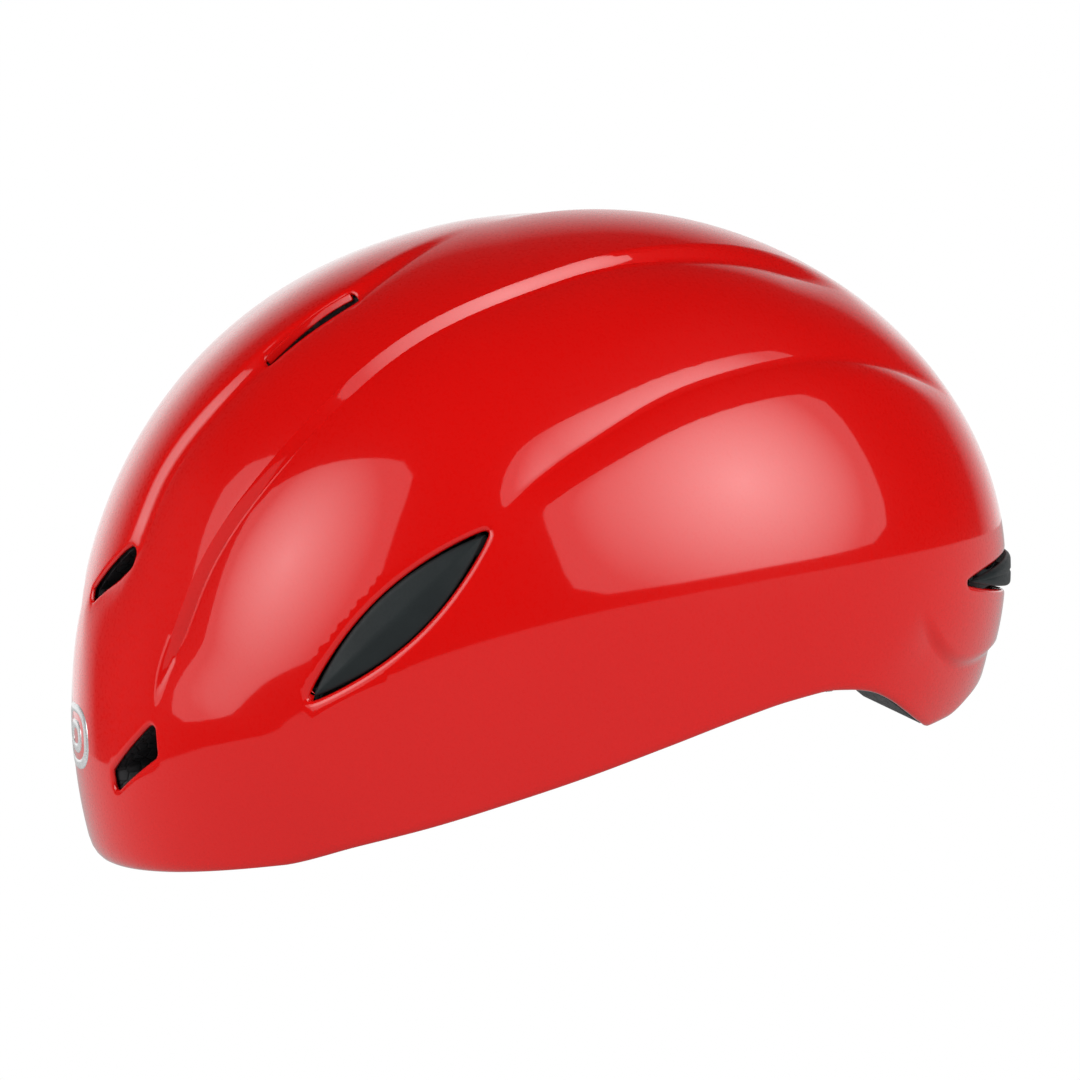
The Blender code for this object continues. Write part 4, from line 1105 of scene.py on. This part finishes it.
NU, NV = 130, 21
su = -np.cos(np.linspace(0.0, math.pi, NU))
S, T = np.meshgrid(su, np.sin(np.linspace(-math.pi / 2, math.pi / 2, NV)), indexing="ij")
S, T = S.ravel(), T.ravel()
span, high = REAR_SPAN - 1.2, REAR_H - 1.7
halfw = high / 2 * np.clip(1 - np.abs(S) ** 2.2, 0.004, 1) ** 0.8
phi = 180 - S * span
z = REAR_Z + 1.5 * S ** 2 + T * halfw
psi = np.degrees(np.arctan2(z - EYE_Z, 138.0))
e = np.clip(1 - halfw * (1 - np.abs(T)) / 1.6, 0, 1)
proud = 1.55 * np.clip(halfw / 2.5, 0, 1) - 1.5 * (1 - np.sqrt(np.clip(1 - e * e, 0, 1)))
ridge = 0.35 * (1 - smooth(np.abs(T), 0.0, 0.1)) * np.clip(halfw / 4, 0, 1)
pts = surface_at(dome(phi, psi), -(proud - ridge))
ob = to_object("rear_trim_cover", pts, face_out(pts, grid_faces(NU, NV)), INSERT, 40, recalc=False)
thicken(ob, 4.6)
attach(ob, "helmet")
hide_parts("rear_cover")


# ---------------------------------------------------------------- forehead mark: a plain foil badge
def foil():
    n = Nodes("silver_foil")
    v = n.coords()
    n.link(n.spread(n.noise(v, 400, 3), [(0.3, (0.74, 0.75, 0.76)), (0.7, (0.88, 0.89, 0.9))]),
           n.b.inputs["Base Color"])
    n.link(n.range(n.noise(v, 2500, 2), 0.3, 0.7, 0.22, 0.34), n.b.inputs["Roughness"])
    n.set(Metallic=0.55, Coat_Weight=0.8, Coat_Roughness=0.06)
    n.bump((n.noise(v, 2500, 2), 0.15, 0.00002))
    return n.m


FOIL = foil()


def badge_ring(name, half_w, half_h, inner, power=2.6, n=120, m=7):
    """A rounded ring pressed on the brow, with soft edges."""
    t = np.linspace(0, math.tau, n, endpoint=False)
    c, s = np.cos(t), np.sin(t)
    r = (np.abs(c) ** power + np.abs(s) ** power) ** (-1 / power)
    pts = []
    for j in range(m):
        f = 1 - (1 - inner) * j / (m - 1)
        x, z = c * r * half_w * f, s * r * half_h * f
        psi = np.degrees(np.arctan2(37.5 + z - EYE_Z, 138.0))
        phi = np.degrees(np.arctan2(x, 138.0))
        edge = math.sin(math.pi * j / (m - 1)) ** 0.4 if inner > 0 else math.cos(math.pi / 2 * j / (m - 1))
        pts.append(surface_at(dome(phi, psi), np.full(n, -0.22 * edge - 0.02)))
    pts = np.vstack(pts)
    faces = [(j * n + i, j * n + (i + 1) % n, (j + 1) * n + (i + 1) % n, (j + 1) * n + i)
             for j in range(m - 1) for i in range(n)]
    ob = to_object(name, pts, face_out(pts, faces), FOIL, None, recalc=False)
    thicken(ob, 0.25)
    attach(ob, "helmet")
    return ob


badge_ring("brow_badge_ring", 16.0, 9.0, 0.72)
badge_ring("brow_badge_inner_ring", 8.6, 4.6, 0.45)


# ---------------------------------------------------------------- soft pieces
def cloth(name, rgb, pitch=0.9):
    """Brushed knit pad cover: fine loops in rows, fuzz, and a worn tone drift. UVs are in mm."""
    n = Nodes(name)
    uv, v = n.coords(uv=True), n.coords()
    sep = n.add("ShaderNodeSeparateXYZ")
    n.link(uv, sep.inputs[0])
    k = math.tau / pitch
    row = n.math("SINE", n.math("MULTIPLY", sep.outputs[1], k))
    zig = n.math("MULTIPLY", n.math("ABSOLUTE", row), 1.1)
    rib = n.math("SINE", n.math("ADD", n.math("MULTIPLY", sep.outputs[0], k * 1.15), zig))
    loop = n.math("MULTIPLY", n.math("ABSOLUTE", rib), n.math("ABSOLUTE", row))
    fuzz = n.noise(v, 2600, 3, 0.7)
    lo, hi = tuple(c * 0.55 for c in rgb), tuple(c * 1.5 for c in rgb)
    mix = n.math("ADD", n.math("MULTIPLY", loop, 0.55), n.math("MULTIPLY", n.noise(v, 90, 4), 0.5))
    n.link(n.spread(mix, [(0.2, lo), (0.8, hi)]), n.b.inputs["Base Color"])
    n.link(n.range(fuzz, 0.3, 0.7, 0.82, 0.98), n.b.inputs["Roughness"])
    n.set(Specular_IOR_Level=0.2, Sheen_Weight=0.35, Sheen_Roughness=0.45)
    n.bump((loop, 0.7, 0.00016), (fuzz, 0.35, 0.0001))
    return n.m


def webbing(name, rgb, column=1.9, pick=0.95):
    """Woven nylon tape: herringbone columns across the width, picks along it. UVs are in mm."""
    n = Nodes(name)
    uv, v = n.coords(uv=True), n.coords()
    sep = n.add("ShaderNodeSeparateXYZ")
    n.link(uv, sep.inputs[0])
    x, y = sep.outputs[0], sep.outputs[1]
    tri = n.math("PINGPONG", x, column)
    slant = n.math("ADD", n.math("MULTIPLY", y, math.tau / pick), n.math("MULTIPLY", tri, 2.6))
    thread = n.math("ABSOLUTE", n.math("SINE", slant))
    join = n.range(n.math("ABSOLUTE", n.math("SUBTRACT", tri, column / 2)), column / 2 - 0.22,
                   column / 2, 1.0, 0.35)
    h = n.math("MULTIPLY", thread, join)
    fuzz = n.noise(v, 3200, 2)
    lo, hi = tuple(c * 0.45 for c in rgb), tuple(c * 1.5 for c in rgb)
    n.link(n.spread(n.math("ADD", n.math("MULTIPLY", h, 0.8), n.math("MULTIPLY", fuzz, 0.25)),
                    [(0.1, lo), (0.95, hi)]), n.b.inputs["Base Color"])
    n.link(n.range(h, 0, 1, 0.85, 0.55), n.b.inputs["Roughness"])
    n.set(Specular_IOR_Level=0.35)
    n.bump((h, 0.9, 0.00022), (fuzz, 0.2, 0.00005))
    return n.m


CLOTH = cloth("brushed_pad_cloth", (0.042, 0.042, 0.047))
WEBBING = webbing("woven_webbing_black", (0.026, 0.026, 0.029))
THREAD = moulded("sewing_thread_grey", (0.085, 0.085, 0.09), 0.6, 3000, 0.00003)


def give_uv(ob, uv):
    layer = ob.data.uv_layers.new(name="UVMap")
    idx = np.zeros(len(ob.data.loops), int)
    ob.data.loops.foreach_get("vertex_index", idx)
    layer.data.foreach_set("uv", np.asarray(uv, float)[idx].ravel())


def join_under(main, others):
    """Put small pieces into one object, each face keeping its material."""
    me = main.data
    bm = bmesh.new()
    bm.from_mesh(me)
    for ob in others:
        k = len(me.materials)
        me.materials.append(ob.data.materials[0])
        before = len(bm.faces)
        bm.from_mesh(ob.data)
        bm.faces.ensure_lookup_table()
        for f in bm.faces[before:]:
            f.material_index = k
        bpy.data.objects.remove(ob)
    bm.to_mesh(me)
    bm.free()
    return main


def stitches(name, loop, out, length=1.9, gap=1.1, r=0.28, closed=True):
    """Thread stitches laid along a line of points, lying on the cloth."""
    p = np.vstack([loop, loop[:1]]) if closed else loop
    o = np.vstack([out, out[:1]]) if closed else out
    s = np.concatenate([[0], np.cumsum(np.linalg.norm(np.diff(p, axis=0), axis=1))])
    n = max(2, int(s[-1] / (length + gap)))
    step = s[-1] / n
    verts, faces = [], []
    for i in range(n):
        c = [np.array([np.interp(i * step + f * length, s, p[:, k]) for k in range(3)])
             for f in (0, 0.12, 0.5, 0.88, 1)]
        up = np.array([np.interp(i * step + length / 2, s, o[:, k]) for k in range(3)])
        d = c[4] - c[0]
        d /= max(np.linalg.norm(d), 1e-9)
        side = np.cross(d, up)
        side /= max(np.linalg.norm(side), 1e-9)
        base = len(verts)
        for q, f, lift in zip(c, (0.25, 0.9, 1.1, 0.9, 0.25), (-0.25, 0.05, 0.16, 0.05, -0.25)):
            for a in range(6):
                a = a * math.tau / 6
                verts.append(q + up * lift + (side * math.cos(a) + up * math.sin(a)) * r * f)
        for j in range(4):
            for a in range(6):
                b = (a + 1) % 6
                faces.append((base + j * 6 + a, base + j * 6 + b, base + j * 6 + 6 + b,
                              base + j * 6 + 6 + a))
        faces.append(tuple(base + a for a in range(6))[::-1])
        faces.append(tuple(base + 24 + a for a in range(6)))
    return to_object(name, np.array(verts), faces, THREAD, 60)


def soft_pad(name, at, hu, hv, thick, node, body, n_u=None, n_v=None, seam=3.0, drum=1.0):
    """A sewn foam pad. at(s, t, off) gives points on its plan, off mm out of its back face."""
    n_u, n_v = n_u or int(hu * 2.2) + 12, n_v or int(hv * 2.2) + 12
    s = np.sin(np.linspace(-math.pi / 2, math.pi / 2, n_u))
    t = np.sin(np.linspace(-math.pi / 2, math.pi / 2, n_v))
    s, t = np.meshgrid(s, t, indexing="ij")
    s, t = s.ravel(), t.ravel()

    def edge(s, t):
        a, b = (1 - np.abs(s)) * hu, (1 - np.abs(t)) * hv
        a, b = np.maximum(a, 1e-6), np.maximum(b, 1e-6)
        return (a ** -3.0 + b ** -3.0) ** (-1 / 3.0)

    def height(s, t):
        d = edge(s, t)
        e = thick * 0.6
        h = e * np.sqrt(np.clip(1 - np.clip(1 - d / 1.7, 0, 1) ** 2, 0, 1))
        h = h + (thick - e) * smooth(d, seam, seam + 0.45 * min(hu, hv)) * drum
        h = h - 1.0 * np.exp(-((d - seam) / 0.75) ** 2)
        turn = np.arctan2(t * hv, s * hu)
        h = h + 0.14 * np.cos(turn * round((hu + hv) * 0.66)) * np.exp(-((d - seam - 1.6) / 1.3) ** 2)
        h = h + 0.10 * np.sin(s * hu / 7.3 + 1.3) * np.cos(t * hv / 5.9 + 0.4) * smooth(d, 4, 9)
        return np.clip(h, 0, thick)

    top = at(s, t, height(s, t))
    ii, jj = np.divmod(np.arange(n_u * n_v), n_v)
    rim = (ii == 0) | (ii == n_u - 1) | (jj == 0) | (jj == n_v - 1)
    back = at(s, t, np.zeros(len(s)))
    verts = np.vstack([top, back])
    other = np.where(rim, np.arange(len(s)), np.arange(len(s)) + len(s))
    quads = grid_faces(n_u, n_v)
    faces = quads + [tuple(int(other[i]) for i in f[::-1]) for f in quads]
    ob = to_object(name, verts, faces, CLOTH, 60)
    used = np.unique(np.concatenate([np.asarray(f, int) for f in faces]))
    uv = np.stack([s * hu, t * hv], -1)
    give_uv(ob, np.vstack([uv, uv])[used])
    # seam line
    a = np.linspace(0, math.tau, 200, endpoint=False)
    ca, sa = np.cos(a) / hu, np.sin(a) / hv
    lo, hi = np.zeros(200), np.ones(200) / np.maximum(np.abs(ca), np.abs(sa))
    for _ in range(30):
        m = (lo + hi) / 2
        deep = edge(m * ca, m * sa) > seam
        lo, hi = np.where(deep, m, lo), np.where(deep, hi, m)
    ls, lt = lo * ca, lo * sa
    loop = at(ls, lt, height(ls, lt) + 0.12)
    out = at(ls, lt, height(ls, lt) + 1.12) - loop
    out /= np.linalg.norm(out, axis=1)[:, None]
    join_under(ob, [stitches(name + "_seam", loop, out)])
    ob.data.set_sharp_from_angle(angle=math.radians(60))
    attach(ob, body)
    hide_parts(node)
    return ob


def plan(s, t):
    return s * np.sqrt(1 - 0.42 * t * t), t * np.sqrt(1 - 0.42 * s * s)


PAD_BACK, PAD_THICK = 1.3, 5.0


def wall_pad(name, node, phi0, phi1, z0, z1):
    t0, t1 = head_t(z0), head_t(z1)

    def at(s, t, off):
        u, v = plan(s, t)
        return head((phi0 + phi1) / 2 + u * (phi1 - phi0) / 2, (t0 + t1) / 2 + v * (t1 - t0) / 2,
                    PAD_BACK + off)
    ps = at(np.linspace(-1, 1, 40), np.zeros(40), np.zeros(40))
    pt = at(np.zeros(40), np.linspace(-1, 1, 40), np.zeros(40))
    hu = np.linalg.norm(np.diff(ps, axis=0), axis=1).sum() / 2
    hv = np.linalg.norm(np.diff(pt, axis=0), axis=1).sum() / 2
    return soft_pad(name, at, hu, hv, PAD_THICK, node, "helmet")


def crown_pad(name, node, y0, y1, half_x):
    def at(s, t, off):
        u, v = plan(s, t)
        x, y = u * half_x, (y0 + y1) / 2 + v * (y1 - y0) / 2
        r = np.hypot(x / HEAD_A, (y - HEAD_Y) / HEAD_B)
        phi = np.degrees(np.arctan2(x / HEAD_A, -(y - HEAD_Y) / HEAD_B))
        return head(phi, np.degrees(np.arccos(r)), PAD_BACK + off)
    return soft_pad(name, at, half_x, (y1 - y0) / 2, PAD_THICK, node, "helmet")


wall_pad("brow_cushion", "brow_pad", -43, 43, 4, 21)
for sx, side in ((1, "left"), (-1, "right")):
    wall_pad(side + "_front_side_cushion", side + "_front_side_pad", sx * 46, sx * 78, 70, 96)
    wall_pad(side + "_rear_side_cushion", side + "_rear_side_pad", sx * 103, sx * 136, 74, 98)
crown_pad("front_crown_cushion", "front_crown_pad", -64, -15, 21)
crown_pad("rear_crown_cushion", "rear_crown_pad", 11, 60, 21)

CR = math.radians(-28)
CRADLE_AT = np.array([0.0, 79.0, 22.0])
CRADLE_ROT = np.array([[1, 0, 0], [0, math.cos(CR), -math.sin(CR)], [0, math.sin(CR), math.cos(CR)]])


def in_cradle(p):
    return p @ CRADLE_ROT.T + CRADLE_AT


for sx, side in ((1, "left"), (-1, "right")):
    def nape(s, t, off, sx=sx):
        s, t, off = np.broadcast_arrays(s, t, off)
        return in_cradle(np.stack([sx * 15.0 + 11.0 * s * np.sqrt(1 - 0.4 * t * t), -4.4 - off,
                                   10.0 * t * np.sqrt(1 - 0.4 * s * s)], -1))
    soft_pad(side + "_nape_cushion", nape, 11.0, 10.0, 4.0, side + "_nape_pad", "cradle", seam=2.4)


# webbing straps: a rounded tape section carried along the strap's line
def tape(name, pts, across, width, thick, node, bar_at=()):
    d = np.gradient(pts, axis=0)
    d /= np.linalg.norm(d, axis=1)[:, None]
    across = across - np.sum(across * d, axis=1)[:, None] * d
    across /= np.linalg.norm(across, axis=1)[:, None]
    nrm = np.cross(d, across)
    length = np.concatenate([[0], np.cumsum(np.linalg.norm(np.diff(pts, axis=0), axis=1))])
    m = 12
    a = np.linspace(-1, 1, m)
    ww = a * (width / 2 - thick * 0.30)
    top = np.full(m, thick / 2) - 0.10 * (np.abs(a) > 0.75) * 1.0
    prof = [(w, h) for w, h in zip(ww, top)] + [(width / 2, thick * 0.18), (width / 2, -thick * 0.18)] + \
        [(w, -h) for w, h in zip(ww[::-1], top[::-1])] + [(-width / 2, -thick * 0.18), (-width / 2, thick * 0.18)]
    prof = np.array(prof)
    k = len(prof)
    wob = 1.0 + 0.006 * np.sin(length / 2.1)
    verts = (pts[:, None, :] + across[:, None, :] * (prof[None, :, :1] * wob[:, None, None]) +
             nrm[:, None, :] * prof[None, :, 1:]).reshape(-1, 3)
    n = len(pts)
    faces = [(i * k + j, i * k + (j + 1) % k, (i + 1) * k + (j + 1) % k, (i + 1) * k + j)
             for i in range(n - 1) for j in range(k)]
    faces += [tuple(range(k))[::-1], tuple((n - 1) * k + j for j in range(k))]
    ob = to_object(name, verts, faces, WEBBING, 40)
    uv = np.stack([np.tile(prof[:, 0] + width / 2, n), np.repeat(length, k)], -1)
    give_uv(ob, uv)
    rows = []
    for at in bar_at:                                       # bar tacks
        c = np.array([np.interp(at * length[-1], length, pts[:, q]) for q in range(3)])
        i = int(np.argmin(np.abs(length - at * length[-1])))
        for side in (1, -1):
            for off in (-1.6, 1.6):
                w = np.linspace(-width / 2 + 2.2, width / 2 - 2.2, 12)
                line = c + d[i] * off + across[i] * w[:, None] + nrm[i] * side * (thick / 2 + 0.02)
                rows.append(stitches(name + "_tack", line, np.tile(nrm[i] * side, (12, 1)), 1.4, 0.25,
                                     0.24, closed=False))
    if rows:
        join_under(ob, rows)
    ob.data.set_sharp_from_angle(angle=math.radians(40))
    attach(ob, "helmet")
    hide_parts(node)
    return ob


def wall(phi, z, off):
    return head(phi, head_t(z), off)


def wall_tape(name, node, phi0, z0, phi1, z1, off, width, thick):
    u = np.linspace(0, 1, 60)

    def c(u, o=off):
        return wall(phi0 + (phi1 - phi0) * u, z0 + (z1 - z0) * u, o)
    d = c(np.clip(u + 1e-3, 0, 1)) - c(np.clip(u - 1e-3, 0, 1))
    d /= np.linalg.norm(d, axis=-1)[:, None]
    w = np.cross(d, c(u) - c(u, off + 1))
    w *= np.sign(w[:, 2])[:, None]
    return tape(name, c(u), w, width, thick, node, bar_at=(0.09,))


for sx, side in ((1, "left"), (-1, "right")):
    wall_tape(side + "_front_webbing", side + "_front_strap", sx * 50.0, 34.5, sx * 84.5, 52.5, 5.1,
              15.0, 1.4)
    wall_tape(side + "_rear_webbing", side + "_rear_strap", sx * 130.0, 60.5, sx * 95.5, 52.5, 5.1,
              15.0, 1.4)

CHORD_Z = 108.0


def chin_path(t):
    w = [wall(np.array([90.0]), z, o)[0]
         for z, o in ((61, 2.7), (66, 2.8), (72, 3.4), (80, 4.0), (90, 4.2), (98, 4.2))]
    pts = [(p[0], p[2]) for p in w] + [(46.0, 105.6), (41.0, CHORD_Z - 0.4)] + \
        [(x, CHORD_Z) for x in (36.0, 28.0, 18.0, 8.0, 3.0)]
    p = np.array(pts)
    s = np.concatenate([[0], np.cumsum(np.linalg.norm(np.diff(p, axis=0), axis=1))])
    u = np.asarray(t) * s[-1]
    return cubic(s, p[:, 0])(u), cubic(s, p[:, 1])(u)


def t_at_x(x):
    ts = np.linspace(0, 1, 800)
    return float(ts[np.argmin(np.abs(chin_path(ts)[0] - x))])


for sx, side, t1 in ((1, "left", 1.0), (-1, "right", t_at_x(25.5))):
    x, z = chin_path(np.linspace(0, t1, 110))
    tape(side + "_chin_webbing", np.stack([sx * x, np.full_like(x, HEAD_Y), z], -1),
         np.tile([0.0, 1.0, 0.0], (110, 1)), 15.0, 1.4, side + "_chin_strap",
         bar_at=(0.1, 0.86) if sx > 0 else (0.1,))

CT0, CT1 = t_at_x(62.0), t_at_x(29.5)


def chin_plan(s, t, off):
    s, t, off = np.broadcast_arrays(s, t, off)
    u = CT0 + (CT1 - CT0) * (s + 1) / 2
    x, z = chin_path(u)
    x1, z1 = chin_path(np.clip(u + 1e-3, 0, 1))
    x0, z0 = chin_path(np.clip(u - 1e-3, 0, 1))
    d = np.stack([x1 - x0, z1 - z0], -1)
    d /= np.linalg.norm(d, axis=-1)[..., None]
    k = 2.9 - 1.6 + off
    x, z = x + k * -d[..., 1] * 1, z + k * d[..., 0] * 1
    return np.stack([-x, HEAD_Y + t * 11.0 * np.sqrt(1 - 0.12 * s * s), z], -1)


soft_pad("chin_cushion", chin_plan, 20.0, 11.0, 3.2, "chin_pad", "helmet", seam=2.2)


# ---------------------------------------------------------------- finishes of the hard fittings
DIAL = moulded("dial_rubber_grey", (0.035, 0.036, 0.039), 0.62, 2200, 0.00006)
ARMS = moulded("flexible_nylon_black", (0.018, 0.018, 0.020), 0.38, 1200, 0.00005)
BUCKLE = moulded("buckle_nylon_black", (0.024, 0.024, 0.027), 0.34, 1700, 0.00005, 0.2)
FINISHES = {"dial_knob": DIAL, "dial_pinion": ARMS, "height_strap": ARMS}
for word in ("rack_arm", "temple_arm"):
    for side in ("left", "right"):
        FINISHES[f"{side}_{word}"] = ARMS
for word in ("buckle_socket", "buckle_prongs"):
    FINISHES[word] = BUCKLE
for name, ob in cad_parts.items():
    mats = [s for s in ob.material_slots]
    for sl in mats:
        was = sl.material.name if sl.material else ""
        if name in FINISHES:
            sl.material = FINISHES[name]
        elif "nylon" in was:
            sl.material = NYLON
        elif "foam" in was:
            sl.material = FOAM
        elif "trim" in was:
            sl.material = TRIM
        elif "shell" in was:
            sl.material = RED
        elif "web" in was:
            sl.material = WEBBING
        elif "pad" in was:
            sl.material = CLOTH


# ---------------------------------------------------------------- red lips inside the crown slits
def slit_lip(win, name):
    """A red facet sloping down into the slit from its inboard edge, leaving a narrow dark gap."""
    ring = win.ring(0.1, count=400)
    a, w = (ring - win.at) @ win.ax, (ring - win.at) @ win.wd
    turn = -np.sign(win.wd[0] * win.at[0])
    w = w * turn
    aa = a.min() + (a.max() - a.min()) * np.linspace(0.03, 0.97, 50)
    top = np.array([w[np.abs(a - v) < 0.8].max() for v in aa])
    low = np.array([w[np.abs(a - v) < 0.8].min() for v in aa])
    vs = np.linspace(0, 1, 9)
    A, V = np.repeat(aa, 9), np.tile(vs, 50)
    W = np.repeat(top, 9) - V * np.repeat(np.maximum(top - low - 3.3, 0.3), 9)
    q = win.at + A[:, None] * win.ax + turn * W[:, None] * win.wd
    lo, hi = np.full(len(q), -25.0), np.full(len(q), 25.0)
    for _ in range(36):
        m = (lo + hi) / 2
        p = q + m[:, None] * win.inn
        out = np.linalg.norm(p - MIDDLE, axis=1) > np.linalg.norm(to_dome(p) - MIDDLE, axis=1)
        lo, hi = np.where(out, m, lo), np.where(out, hi, m)
    pts = surface_at(q + lo[:, None] * win.inn, 0.9 + 1.5 * V ** 1.4)
    ob = to_object(name, pts, face_out(pts, grid_faces(50, 9)), RED, 50, recalc=False)
    thicken(ob, 0.9)
    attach(ob, "helmet")


slit_lip(SLIT, "left_slit_lip")
slit_lip(SLIT.flip(), "right_slit_lip")

lo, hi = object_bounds()
